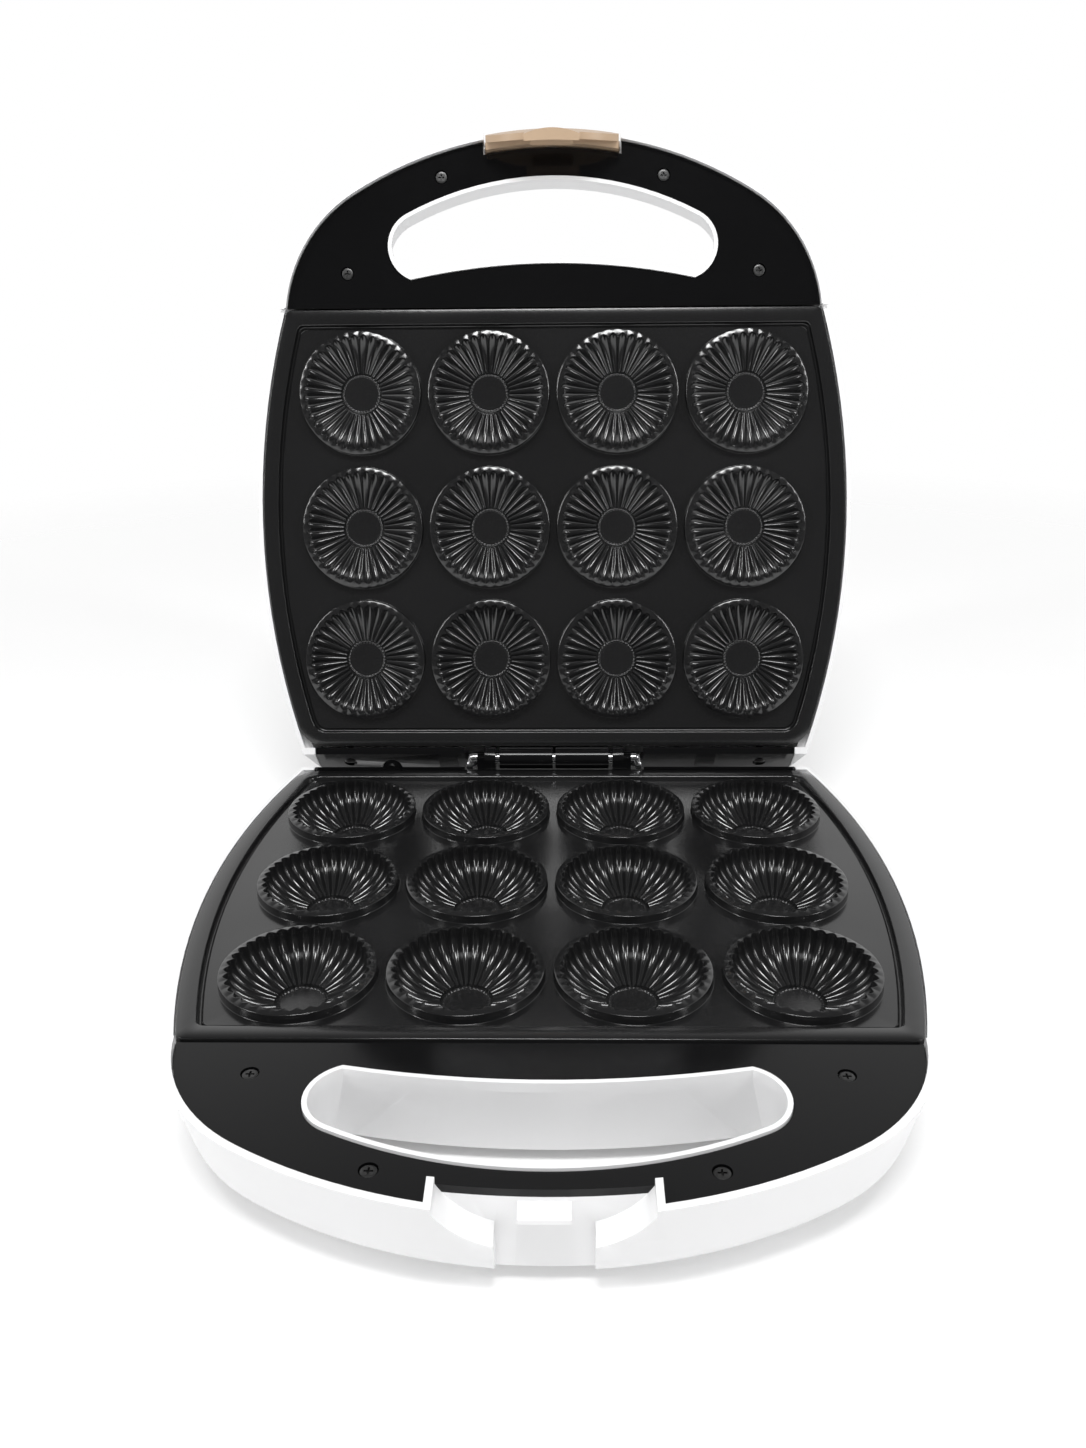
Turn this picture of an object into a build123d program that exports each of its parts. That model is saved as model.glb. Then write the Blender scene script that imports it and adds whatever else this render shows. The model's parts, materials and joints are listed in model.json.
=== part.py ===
from build123d import *
import math
import os

# Twelve-cup maamoul maker: two hinged halves with die-cast plates of fluted cups.
# Millimetres. X is across, the handle is at the front (-Y), Z is up.
# Each half is drawn as the lid lies when closed, so a level is a height above the parting plane.
# The base is the mirror image below that plane. The lid is then turned open about the hinge.

# Baking plates
CUP_COLUMNS = 4
CUP_ROWS = 3
CUP_PITCH_X = 53.0
CUP_PITCH_Y = 55.0
FLUTES = 36
RIM_LEVEL = 0.25
FLANGE_LEVEL = 2.4
FIELD_LEVEL = 3.4
GROOVE_LEVEL = 4.5
PLATE_BACK_LEVEL = 5.9
RIM_RADIUS = 25.0
CUP_RADIUS = 22.8
CUP_WAIST_RADIUS = 18.6
CUP_WAIST_LEVEL = 9.8
CUP_FLOOR_RADIUS = 8.2
CUP_FLOOR_LEVEL = 16.0
RIDGE_RATIO = 0.93
CUP_WALL = 2.2
BOWL_SIDES = 12
FLANGE_WIDTH = 6.0
GROOVE_WIDTH = 1.8
PLATE_FRONT_Y = -88.5
PLATE_BACK_Y = 92.0
PLATE_BACK_CORNER = 8.0
PLATE_FRONT_CORNER = 2.0
SIDE_ARC_RADIUS = 312.9
SIDE_ARC_CENTRE = (-191.9, -3.7)

# Handle panel: a wide front arc, two tighter corner arcs and straight sides
FRONT_ARC_RADIUS = 155.5
FRONT_ARC_HALF = 31.3
FRONT_Y = -156.3
CORNER_ARC_RADIUS = 59.2
PANEL_LEVEL = 3.3
PANEL_THICK = 2.4
PANEL_GAP = 0.7
FIT_GAP = 0.3

# Crescent handle opening of the black panel, and the white tube inside it that widens outward
OPENING_FRONT_Y = -140.8
OPENING_FRONT_END = (59.5, -126.4)
OPENING_SIDE = (67.4, -113.5)
OPENING_REAR_END = (58.0, -100.0)
OPENING_REAR_Y = -106.1
TUBE_WALL = 1.5
TUBE_RIM_LEVEL = 2.5
TUBE_DRAFT = 10.0
TUBE_MOUTH = 2.0
MOUTH_ANGLE = 45.0

# Housings
HOUSING_TOP = 30.0
HOUSING_RIM = 1.0
HOUSING_SIDE_RIM = 2.6
HOUSING_WALL = 2.2
HOUSING_FLOOR = 2.4
HOUSING_OFFSET = 2.5
LEDGE = 1.3
DRAFT = 13.0
LEAN = math.tan(math.radians(DRAFT))
EDGE_RADIUS = 13.0
REAR_Y = 95.5
REAR_SLOPE = math.radians(57.0)
REAR_WINDOW_HALF = 102.0
REAR_WINDOW_TOP = 20.0
POST_RADIUS = 3.6
HALF_WIDTH = 150.0
TAIL_Y = 125.0
HANDLE_OVERLAP_Y = -40.0

# Latch recess with its curved upright back (depth, radius) in each half, and the catch of the base
RECESS_HALF = 27.6
RECESS_WALL = 2.0
RECESS_REACH = 20.0
BASE_RECESS_BACK = (-147.0, 220.0)
LID_RECESS_BACK = (-151.4, 160.0)
SLOT_HALF = 12.8
RAMP_START = 3.3
RAMP_MIDDLE = (22.5, 9.2)
SLOT_START = 14.0
CATCH_HALF = 6.8
CATCH_TIP_Y = -152.4
CATCH_LEVELS = (7.1, 8.0, 9.4)

# Hinge
HINGE_Y = 96.8
HINGE_Z = 1.1
OPEN_ANGLE = 107.0
BARREL_RADIUS = 4.6
BARREL_RANGE = (0.6, 23.0)
KNUCKLE_RANGE = (24.7, 29.3)
KNUCKLE_LEDGE_END = 32.4
HINGE_RELIEF_HALF = 38.0
HINGE_RELIEF = 1.0
PIN_RADIUS = 2.0
PIN_PLAY = 0.15
PIN_CRANK_X = 34.5
PIN_CRANK_DROP = 3.2
PIN_TIP_END = 37.0
FRAME_THICK = 2.4
TONGUE_THICK = 1.6
TONGUE_HALF = 92.0
TONGUE_LEVELS = (14.0, 23.0)
WEB_LEVEL = 7.0
GUIDE_PLACES = (-45.4, 64.6)
GUIDE_HALF = 4.0
GUIDE_END = 12.0
GUIDE_HEIGHT = 1.0
SLEEVE_X = -69.2
SLEEVE_RADIUS = 4.6

# Latch, hung on two pegs in the lid recess
LATCH_PIVOT_Y = -152.6
LATCH_PIVOT_LEVEL = 8.0
LATCH_PEG_RADIUS = 1.25
LATCH_PEG_PLAY = 0.1
LATCH_PEG_RANGE = (22.4, 30.2)
LATCH_HALF = 27.3
LATCH_SKIN = (2.5, 0.0)
LATCH_BAR_INSET = 2.7
LATCH_BAR_LEVELS = (-3.0, 7.5)
LATCH_POCKET_SKIN = 1.5
LATCH_POCKET_LEVEL = 4.5
LATCH_REST_ANGLE = 10.0
LATCH_TONGUE_HALF = 11.2
LATCH_TOP = 12.0
LATCH_HEADROOM = 2.0
LATCH_DROP = 19.5
LATCH_LUG_RADIUS = 2.2
LATCH_LIP_SAG = 2.4
HOOK_HALF = 8.4
HOOK_TIP_Y = -151.4
HOOK_LEVELS = (10.2, 11.2, 13.8)

# Fasteners
PANEL_SCREWS = ((84.0, -103.0), (45.0, -140.5))
SCREW_HEAD_RADIUS = 2.4
SCREW_SHANK_RADIUS = 1.4
SCREW_LENGTH = 8.0
HEAD_THICK = 1.3
HEAD_SINK = 1.6
FRAME_SCREW_X = 88.0
FRAME_SCREW_LEVEL = 9.5
FRAME_POST_Y = 87.6
FRAME_SCREW_START_Y = 85.0

# Heating and control pieces
PLATE_POSTS = ((95.5, -74.0), (95.5, 74.0))
SHIELD_LEVEL = 21.0
SHIELD_THICK = 0.8
SHIELD_LIP = 5.0
SHIELD_X = (-101.0, 101.0)
SHIELD_Y = (-79.0, 81.0)
WELL_RADIUS = 3.2
WELL_DEPTH = 3.5
HEATER_WIDTH = 6.5
HEATER_HEIGHT = 5.0
HEATER_ROW_Y = 27.5
HEATER_BEND_X = 82.0
HEATER_END_X = -95.0
HEATER_TERMINAL_END_X = -103.0
THERMOSTAT_X = -109.0
THERMOSTAT_RADIUS = 5.6
THERMOSTAT_HEIGHT = 8.0
FUSE_RADIUS = 2.2
FUSE_Y = (-23.0, -9.0)
TERMINAL_BLOCK = ((46.0, 68.0), (85.0, 98.0), (17.6, 27.6))
LENS_X = 9.0
LENS_Y = -86.5
LENS_RADIUS = 3.0
LENS_RISE = 1.0
LAMP_HOLDER = ((-18.0, 18.0), (-92.0, -81.5), (20.0, 26.5))

# Feet and cord entry
FOOT_HEIGHT = 5.0
FOOT_RADII = (7.0, 8.0)
FEET = {"front": (82.0, -84.0), "rear": (82.0, 94.0)}
GLAND_Y = 72.0
GLAND_LEVEL = 16.0
GLAND_FACE_X = 114.3
GLAND_INNER_X = 102.5
GLAND_BODY_RADIUS = 5.0
GLAND_FLANGE_RADIUS = 7.0
GLAND_FLANGE_THICK = 2.0
GLAND_BOSS_EDGE = 0.5
CORD_RADIUS = 3.5


def polar(radius, degrees):
    """Point on a circle about the origin."""
    angle = math.radians(degrees)
    return (radius * math.cos(angle), radius * math.sin(angle))


def side_x(y, offset_by=0.0):
    """Half width of the plate at depth y, from the long side arc."""
    reach = SIDE_ARC_RADIUS + offset_by
    return SIDE_ARC_CENTRE[0] + math.sqrt(reach ** 2 - (y - SIDE_ARC_CENTRE[1]) ** 2)


def both_sides(points):
    """Each (x, y) point and its mirror image across the middle plane."""
    return [(side * x, y) for (x, y) in points for side in (-1, 1)]


def plate_face(front, back, offset_by=0.0):
    """Flat outline with bowed sides between two straight edges."""
    middle = (front + back) / 2
    front_x, middle_x, back_x = (side_x(y, offset_by) for y in (front, middle, back))
    return make_face([
        Line((-front_x, front), (front_x, front)),
        ThreePointArc((front_x, front), (middle_x, middle), (back_x, back)),
        Line((back_x, back), (-back_x, back)),
        ThreePointArc((-back_x, back), (-middle_x, middle), (-front_x, front)),
    ])


def handle_face(back, offset_by=0.0):
    """Outline of the handle part: front arc, corner arcs, straight sides back to a given depth."""
    front_centre_y = FRONT_Y + FRONT_ARC_RADIUS
    corner_radius = CORNER_ARC_RADIUS + offset_by
    start = 270 - FRONT_ARC_HALF
    meeting = 270 + FRONT_ARC_HALF
    centre_x, centre_y = polar(FRONT_ARC_RADIUS - CORNER_ARC_RADIUS, meeting)
    centre_y += front_centre_y
    turn = 360 - meeting
    side = centre_x + corner_radius
    return make_face([
        CenterArc((0, front_centre_y), FRONT_ARC_RADIUS + offset_by, start, meeting - start),
        CenterArc((centre_x, centre_y), corner_radius, meeting, turn),
        Line((side, centre_y), (side, back)),
        Line((side, back), (-side, back)),
        Line((-side, back), (-side, centre_y)),
        CenterArc((-centre_x, centre_y), corner_radius, 180, turn),
    ])


def opening_face(offset_by=0.0):
    """Crescent of the handle opening."""
    front_x, front_y = OPENING_FRONT_END
    rear_x, rear_y = OPENING_REAR_END
    side_point, side_y = OPENING_SIDE
    crescent = make_face([
        ThreePointArc((-front_x, front_y), (0, OPENING_FRONT_Y), (front_x, front_y)),
        ThreePointArc((front_x, front_y), (side_point, side_y), (rear_x, rear_y)),
        ThreePointArc((rear_x, rear_y), (0, OPENING_REAR_Y), (-rear_x, rear_y)),
        ThreePointArc((-rear_x, rear_y), (-side_point, side_y), (-front_x, front_y)),
    ])
    return offset(crescent, amount=offset_by) if offset_by else crescent


def prism(face, low, high):
    """Straight extrusion of a flat outline between two levels."""
    return extrude(Pos(0, 0, low) * face, amount=high - low)


def block(x_range, y_range, z_range):
    """Box from its three ranges."""
    ranges = (x_range, y_range, z_range)
    sizes = [max(ends) - min(ends) for ends in ranges]
    centre = [(max(ends) + min(ends)) / 2 for ends in ranges]
    return Pos(*centre) * Box(*sizes)


def post(x, y, low, high, radius):
    """Upright cylinder between two levels."""
    return Pos(x, y, (low + high) / 2) * Cylinder(radius, high - low)


def flared(face, low, high, degrees):
    """Extrusion between two levels that widens upward."""
    return extrude(Pos(0, 0, low) * face, amount=high - low, taper=-degrees)


def bar_along_x(x_range, y, z, radius):
    """Cylinder along X between two places."""
    low, high = sorted(x_range)
    return Pos((low + high) / 2, y, z) * Rot(Y=90) * Cylinder(radius, high - low)


def bar_along_y(x, y_range, z, radius):
    """Cylinder along Y between two places."""
    low, high = sorted(y_range)
    return Pos(x, (low + high) / 2, z) * Rot(X=90) * Cylinder(radius, high - low)


def side_profile(points, x_range):
    """Side-view polygon of (y, z) points, extruded between two places across the width."""
    low, high = sorted(x_range)
    face = make_face(Polyline([(low, y, z) for (y, z) in points], close=True))
    return extrude(face, amount=high - low, dir=(1, 0, 0))


def rear_y(level, inset=0.0):
    """Depth of the sloping rear face at a level, or of a parallel face further in."""
    return REAR_Y + (level - HOUSING_SIDE_RIM) / math.tan(REAR_SLOPE) - inset / math.sin(REAR_SLOPE)


def rear_limit(inset=0.0):
    """Everything in front of the sloping rear face."""
    low, high = -HOUSING_TOP, 2 * HOUSING_TOP
    return side_profile([
        (2 * FRONT_Y, low), (rear_y(low, inset), low), (rear_y(high, inset), high), (2 * FRONT_Y, high),
    ], (-HALF_WIDTH, HALF_WIDTH))


def front_offset(offset_by, level):
    """Offset that a leaning wall has shrunk to at a level."""
    return offset_by - (level - HOUSING_RIM) * LEAN


# Baking plates

def cup_ring(radius, level):
    """Zigzag ring of a fluted cup: groove tips outside, ridges inside."""
    pitch = 360 / FLUTES
    points = []
    for flute in range(FLUTES):
        points.append(Vector(*polar(radius, (flute + 0.5) * pitch), level))
        points.append(Vector(*polar(radius * RIDGE_RATIO, (flute + 1) * pitch), level))
    return points


def cup_hollow():
    """Hollow of one cup: fluted wall, waist, then flutes that run out into a flat floor."""
    pitch = 360 / FLUTES
    flare = (CUP_RADIUS - CUP_WAIST_RADIUS) / (CUP_WAIST_LEVEL - RIM_LEVEL)
    mouth = cup_ring(CUP_RADIUS + 2 * RIM_LEVEL * flare, -RIM_LEVEL)
    waist = cup_ring(CUP_WAIST_RADIUS, CUP_WAIST_LEVEL)
    floor = [Vector(*polar(CUP_FLOOR_RADIUS, k * pitch), CUP_FLOOR_LEVEL) for k in range(FLUTES)]
    outlines = [mouth, floor]
    for k in range(2 * FLUTES):
        outlines.append([mouth[k - 1], mouth[k], waist[k], waist[k - 1]])
    for k in range(FLUTES):
        tip = waist[2 * k]
        after = floor[(k + 1) % FLUTES]
        outlines.append([waist[2 * k - 1], floor[k], tip])
        outlines.append([tip, floor[k], after])
        outlines.append([tip, after, waist[2 * k + 1]])
    return Solid(Shell([Face(Wire.make_polygon(outline, close=True)) for outline in outlines]))


def cup_places():
    """Centres of the cups."""
    return [
        ((column - (CUP_COLUMNS - 1) / 2) * CUP_PITCH_X, (row - (CUP_ROWS - 1) / 2) * CUP_PITCH_Y)
        for row in range(CUP_ROWS) for column in range(CUP_COLUMNS)
    ]


def baking_plate():
    """Die-cast plate: flange, drip groove, field, raised cup rims, fluted cups and four posts."""
    outline = plate_face(PLATE_FRONT_Y, PLATE_BACK_Y)
    outline = fillet(outline.vertices().group_by(Axis.Y)[-1], PLATE_BACK_CORNER)
    outline = fillet(outline.vertices().group_by(Axis.Y)[0], PLATE_FRONT_CORNER)
    inset = FLANGE_WIDTH + GROOVE_WIDTH
    groove = plate_face(PLATE_FRONT_Y + FLANGE_WIDTH, PLATE_BACK_Y - FLANGE_WIDTH, -FLANGE_WIDTH)
    field = plate_face(PLATE_FRONT_Y + inset, PLATE_BACK_Y - inset, -inset)
    plate = prism(outline, FLANGE_LEVEL, PLATE_BACK_LEVEL)
    plate -= prism(groove, FLANGE_LEVEL - 1, GROOVE_LEVEL)
    plate += prism(field, FIELD_LEVEL, PLATE_BACK_LEVEL)
    bowl_depth = CUP_FLOOR_LEVEL + CUP_WALL - PLATE_BACK_LEVEL
    bowl_end_radius = CUP_FLOOR_RADIUS + 3 * CUP_WALL
    bowl_taper = math.degrees(math.atan((CUP_RADIUS - bowl_end_radius) / bowl_depth))
    for (x, y) in cup_places():
        plate += post(x, y, RIM_LEVEL, PLATE_BACK_LEVEL, RIM_RADIUS)
        bowl = Pos(x, y, PLATE_BACK_LEVEL) * RegularPolygon(CUP_RADIUS, BOWL_SIDES)
        plate += extrude(bowl, amount=bowl_depth, taper=bowl_taper)
    hollow = cup_hollow()
    plate -= [Pos(x, y, 0) * hollow for (x, y) in cup_places()]
    for (x, y) in both_sides(PLATE_POSTS):
        plate += post(x, y, PLATE_BACK_LEVEL, SHIELD_LEVEL, POST_RADIUS)
        plate -= post(x, y, SHIELD_LEVEL - SCREW_LENGTH, SHIELD_LEVEL + 1, SCREW_SHANK_RADIUS)
    return plate


# Housings

def drafted(offset_by, low, high, edge_radius):
    """Solid of the whole outline, leaning in with height, with a rounded far edge."""
    start = front_offset(offset_by, low)
    faces = (handle_face(HANDLE_OVERLAP_Y, start), plate_face(PLATE_FRONT_Y - start, TAIL_Y, start))
    handle, bay = [extrude(Pos(0, 0, low) * face, amount=high - low, taper=DRAFT) for face in faces]
    body = handle + bay
    return fillet(body.faces().sort_by(Axis.Z)[-1].edges(), edge_radius)


def front_skin(offset_by):
    """Leaning solid of the handle outline alone, parallel to the front wall."""
    low, high = HOUSING_RIM - 3, HOUSING_TOP + 2
    face = handle_face(0, front_offset(offset_by, low))
    return extrude(Pos(0, 0, low) * face, amount=high - low, taper=DRAFT)


def front_slab(half_width, low, high):
    """Block across the front wall."""
    return block((-half_width, half_width), (FRONT_Y - RECESS_REACH, FRONT_Y + RECESS_REACH), (low, high))


def shield_shape(gap=0.0):
    """Shield outline of the latch seen from the front, as a long bar from front to back."""
    half, slot = RECESS_HALF - gap, SLOT_HALF - 2 * gap
    middle = (RAMP_MIDDLE[0] - gap, 0, RAMP_MIDDLE[1] - gap)
    low, high = (slot, 0, SLOT_START - gap), (half, 0, RAMP_START - gap)
    above, below = -EDGE_RADIUS, HOUSING_TOP + EDGE_RADIUS

    def flip(point):
        return (-point[0], point[1], point[2])

    top, bottom = (half, 0, above), (slot, 0, below)
    face = make_face([
        Line(bottom, low), ThreePointArc(low, middle, high), Line(high, top), Line(top, flip(top)),
        Line(flip(top), flip(high)), ThreePointArc(flip(high), flip(middle), flip(low)),
        Line(flip(low), flip(bottom)), Line(flip(bottom), bottom),
    ])
    return extrude(Pos(0, FRONT_Y, 0) * face, amount=RECESS_REACH, dir=(0, 1, 0), both=True)


def behind_recess(back, inset=0.0):
    """Everything behind the curved back of a recess, or behind a parallel face further in."""
    back_y, radius = back
    return post(0, back_y + radius, -HOUSING_TOP, 2 * HOUSING_TOP, radius - inset)


def handle_tube(offset_by, low, high):
    """Tube of the handle opening: upright past the panel, then widening outward."""
    ledge_level = PANEL_LEVEL + PANEL_THICK
    face = opening_face(offset_by)
    return prism(face, low, ledge_level) + flared(face, ledge_level, high, TUBE_DRAFT)


def housing(recess, recess_back):
    """One moulded housing: open tray with handle tube, ledge, posts, rear window and latch recess."""
    ledge_level = PANEL_LEVEL + PANEL_THICK
    inner_offset = HOUSING_OFFSET - HOUSING_WALL
    cavity = drafted(inner_offset - LEDGE, ledge_level, HOUSING_TOP - HOUSING_FLOOR,
                     EDGE_RADIUS - HOUSING_WALL - LEDGE)
    cavity += prism(handle_face(HANDLE_OVERLAP_Y, inner_offset), 0, ledge_level)
    cavity += prism(plate_face(PLATE_FRONT_Y - PANEL_GAP, TAIL_Y, 2 * inner_offset), 0, PLATE_BACK_LEVEL)
    walls = front_slab(RECESS_HALF + RECESS_WALL, ledge_level, HOUSING_TOP)
    cavity -= walls - behind_recess(recess_back, RECESS_WALL)
    form = drafted(HOUSING_OFFSET, HOUSING_RIM, HOUSING_TOP, EDGE_RADIUS) & rear_limit()
    shell = form - (cavity & rear_limit(HOUSING_FLOOR))
    shell += handle_tube(-FIT_GAP, TUBE_RIM_LEVEL, HOUSING_TOP)
    for (x, y) in both_sides(PANEL_SCREWS):
        shell += form & post(x, y, ledge_level, HOUSING_TOP, POST_RADIUS)
        shell -= post(x, y, ledge_level - 1, ledge_level + SCREW_LENGTH, SCREW_SHANK_RADIUS)
    shell -= handle_tube(-FIT_GAP - TUBE_WALL, 0, HOUSING_TOP + 1)
    mouth_level = HOUSING_TOP - TUBE_MOUTH
    growth = (mouth_level - ledge_level) * math.tan(math.radians(TUBE_DRAFT))
    mouth = opening_face(growth - FIT_GAP - TUBE_WALL)
    shell -= flared(mouth, mouth_level, HOUSING_TOP + 1, MOUTH_ANGLE)
    shell -= prism(plate_face(PLATE_FRONT_Y - PANEL_GAP / 2, TAIL_Y, EDGE_RADIUS), 0, HOUSING_SIDE_RIM)
    shell -= block((-REAR_WINDOW_HALF, REAR_WINDOW_HALF), (PLATE_BACK_Y - 5, TAIL_Y), (0, REAR_WINDOW_TOP))
    for side in (-1, 1):
        x = side * FRAME_SCREW_X
        shell += post(x, FRAME_POST_Y, PLATE_BACK_LEVEL, HOUSING_TOP - 1, POST_RADIUS)
        shell -= bar_along_y(x, (FRAME_SCREW_START_Y, TAIL_Y), FRAME_SCREW_LEVEL, SCREW_SHANK_RADIUS)
    return shell - (recess - behind_recess(recess_back))


def base_housing():
    """Base housing: adds the ears, the catch, the screw wells in the floor and the cord boss."""
    ledge_level = PANEL_LEVEL + PANEL_THICK
    zone = shield_shape() & front_slab(RECESS_HALF, 0, HOUSING_TOP + 1)
    shell = housing(zone, BASE_RECESS_BACK)
    ears = front_slab(RECESS_HALF + RECESS_WALL, HOUSING_RIM, ledge_level) & front_skin(HOUSING_OFFSET - 1)
    ears -= behind_recess(BASE_RECESS_BACK)
    shell += ears - zone
    top, lip, low = CATCH_LEVELS
    wall_y = BASE_RECESS_BACK[0]
    shell += side_profile([
        (wall_y + RECESS_WALL / 2, top), (wall_y, top), (CATCH_TIP_Y, lip),
        (CATCH_TIP_Y, low), (wall_y + RECESS_WALL / 2, low),
    ], (-CATCH_HALF, CATCH_HALF))
    for (x, y) in both_sides(PLATE_POSTS):
        shell += post(x, y, SHIELD_LEVEL + SHIELD_THICK, HOUSING_TOP - 1, WELL_RADIUS + 1.4)
        shell -= post(x, y, HOUSING_TOP - WELL_DEPTH, HOUSING_TOP + 1, WELL_RADIUS)
        shell -= post(x, y, SHIELD_LEVEL, HOUSING_TOP, SCREW_SHANK_RADIUS)
    boss = (GLAND_INNER_X + 1, GLAND_FACE_X)
    hole = (GLAND_INNER_X, GLAND_FACE_X + 1)
    shell += bar_along_x(boss, GLAND_Y, GLAND_LEVEL, GLAND_FLANGE_RADIUS + GLAND_BOSS_EDGE)
    return shell - bar_along_x(hole, GLAND_Y, GLAND_LEVEL, GLAND_BODY_RADIUS)


def lid_housing():
    """Lid housing: adds the two lamp holes and the holes of the latch pegs."""
    zone = front_slab(RECESS_HALF, 0, LATCH_TOP + LATCH_HEADROOM)
    shell = housing(zone, LID_RECESS_BACK)
    for side in (-1, 1):
        shell -= post(side * LENS_X, LENS_Y, HOUSING_TOP - HOUSING_FLOOR - 1, HOUSING_TOP + 1, LENS_RADIUS)
        pegs = (side * RECESS_HALF, side * LATCH_PEG_RANGE[1])
        shell -= bar_along_x(pegs, LATCH_PIVOT_Y, LATCH_PIVOT_LEVEL, LATCH_PEG_RADIUS)
    return shell


def handle_panel(notch_back, notch_half):
    """Flat black panel round the handle opening, with the latch notch and four countersunk holes."""
    low, high = PANEL_LEVEL, PANEL_LEVEL + PANEL_THICK
    panel = prism(handle_face(HANDLE_OVERLAP_Y), low, high)
    panel &= block((-HALF_WIDTH, HALF_WIDTH), (2 * FRONT_Y, PLATE_FRONT_Y - PANEL_GAP), (low, high))
    panel -= prism(opening_face(), 0, HOUSING_TOP)
    panel -= front_slab(notch_half, 0, HOUSING_TOP) - behind_recess(notch_back)
    for (x, y) in both_sides(PANEL_SCREWS):
        panel -= post(x, y, low - 1, low + HEAD_SINK, SCREW_HEAD_RADIUS + FIT_GAP)
        panel -= post(x, y, low, high + 1, SCREW_SHANK_RADIUS)
    return panel


# Hinge: the lid carries the two long barrels, the base the two short outer knuckles

def knuckle(x_range, hinge_level):
    """Barrel on the hinge axis with a web down to the sloping frame."""
    front = PLATE_BACK_Y + FIT_GAP
    web = side_profile([
        (front, hinge_level), (front, WEB_LEVEL), (rear_y(WEB_LEVEL), WEB_LEVEL),
        (HINGE_Y + BARREL_RADIUS, hinge_level),
    ], x_range)
    return bar_along_x(x_range, HINGE_Y, hinge_level, BARREL_RADIUS) + web


def rear_frame(hinge_level):
    """Sloping black strip behind the plate, relieved at the hinge, with a tongue behind the wall."""
    half = REAR_WINDOW_HALF - FIT_GAP
    strip = rear_limit() - rear_limit(FRAME_THICK)
    strip &= block((-half, half), (0, TAIL_Y), (HOUSING_SIDE_RIM, REAR_WINDOW_TOP - FIT_GAP))
    tongue = rear_limit(FRAME_THICK) - rear_limit(FRAME_THICK + TONGUE_THICK)
    strip += tongue & block((-TONGUE_HALF, TONGUE_HALF), (0, TAIL_Y), TONGUE_LEVELS)
    relief = (-HINGE_RELIEF_HALF, HINGE_RELIEF_HALF)
    strip -= bar_along_x(relief, HINGE_Y, hinge_level, BARREL_RADIUS + HINGE_RELIEF)
    seat = rear_y(FRAME_SCREW_LEVEL) - HEAD_SINK
    for side in (-1, 1):
        x = side * FRAME_SCREW_X
        strip -= bar_along_y(x, (seat, TAIL_Y), FRAME_SCREW_LEVEL, SCREW_HEAD_RADIUS + FIT_GAP)
        strip -= bar_along_y(x, (FRAME_SCREW_START_Y, TAIL_Y), FRAME_SCREW_LEVEL, SCREW_SHANK_RADIUS)
    return strip


def lid_rear_frame():
    """Rear frame of the lid, with the long barrels and two raised lead guides."""
    frame = rear_frame(HINGE_Z)
    for side in (-1, 1):
        frame += knuckle([side * x for x in BARREL_RANGE], HINGE_Z)
    guide_skin = rear_limit(-GUIDE_HEIGHT) - rear_limit()
    for x in GUIDE_PLACES:
        pill = block((x - GUIDE_HALF, x + GUIDE_HALF), (0, TAIL_Y), (HOUSING_SIDE_RIM, GUIDE_END))
        pill += bar_along_y(x, (0, TAIL_Y), GUIDE_END, GUIDE_HALF)
        frame += guide_skin & pill
    return frame - bar_along_x((-PIN_CRANK_X, PIN_CRANK_X), HINGE_Y, HINGE_Z, PIN_RADIUS + PIN_PLAY)


def base_rear_frame():
    """Rear frame of the base, with the short outer knuckles, their ledges and the lead sleeve."""
    frame = rear_frame(-HINGE_Z)
    for side in (-1, 1):
        frame += knuckle([side * x for x in KNUCKLE_RANGE], -HINGE_Z)
        ledge = (side * KNUCKLE_RANGE[1], side * KNUCKLE_LEDGE_END)
        frame += block(ledge, (PLATE_BACK_Y + FIT_GAP, HINGE_Y), (-HINGE_Z - PIN_RADIUS, WEB_LEVEL))
    sleeve_range = (PLATE_BACK_Y + FIT_GAP, HINGE_Y + 1)
    frame += bar_along_y(SLEEVE_X, sleeve_range, HOUSING_SIDE_RIM + SLEEVE_RADIUS / 2, SLEEVE_RADIUS)
    return frame - bar_along_x((-PIN_CRANK_X, PIN_CRANK_X), HINGE_Y, -HINGE_Z, PIN_RADIUS)


def hinge_pin():
    """Steel pin with both ends cranked down, in its place on the closed product."""
    low = HINGE_Z - PIN_CRANK_DROP
    pin = bar_along_x((-PIN_CRANK_X, PIN_CRANK_X), HINGE_Y, HINGE_Z, PIN_RADIUS)
    for side in (-1, 1):
        elbow_x = side * PIN_CRANK_X
        pin += Pos(elbow_x, HINGE_Y, HINGE_Z) * Sphere(PIN_RADIUS)
        pin += post(elbow_x, HINGE_Y, low, HINGE_Z, PIN_RADIUS)
        pin += bar_along_x((elbow_x, side * PIN_TIP_END), HINGE_Y, low, PIN_RADIUS)
    return pin


# Latch

def latch_skin(offset_by):
    """Solid behind a curved face that leans in above and below the parting plane."""
    face = handle_face(0, front_offset(offset_by, 0))
    reach = 2 * LATCH_DROP
    upper = extrude(face, amount=reach, taper=DRAFT)
    return upper + mirror(upper, about=Plane.XY)


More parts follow.
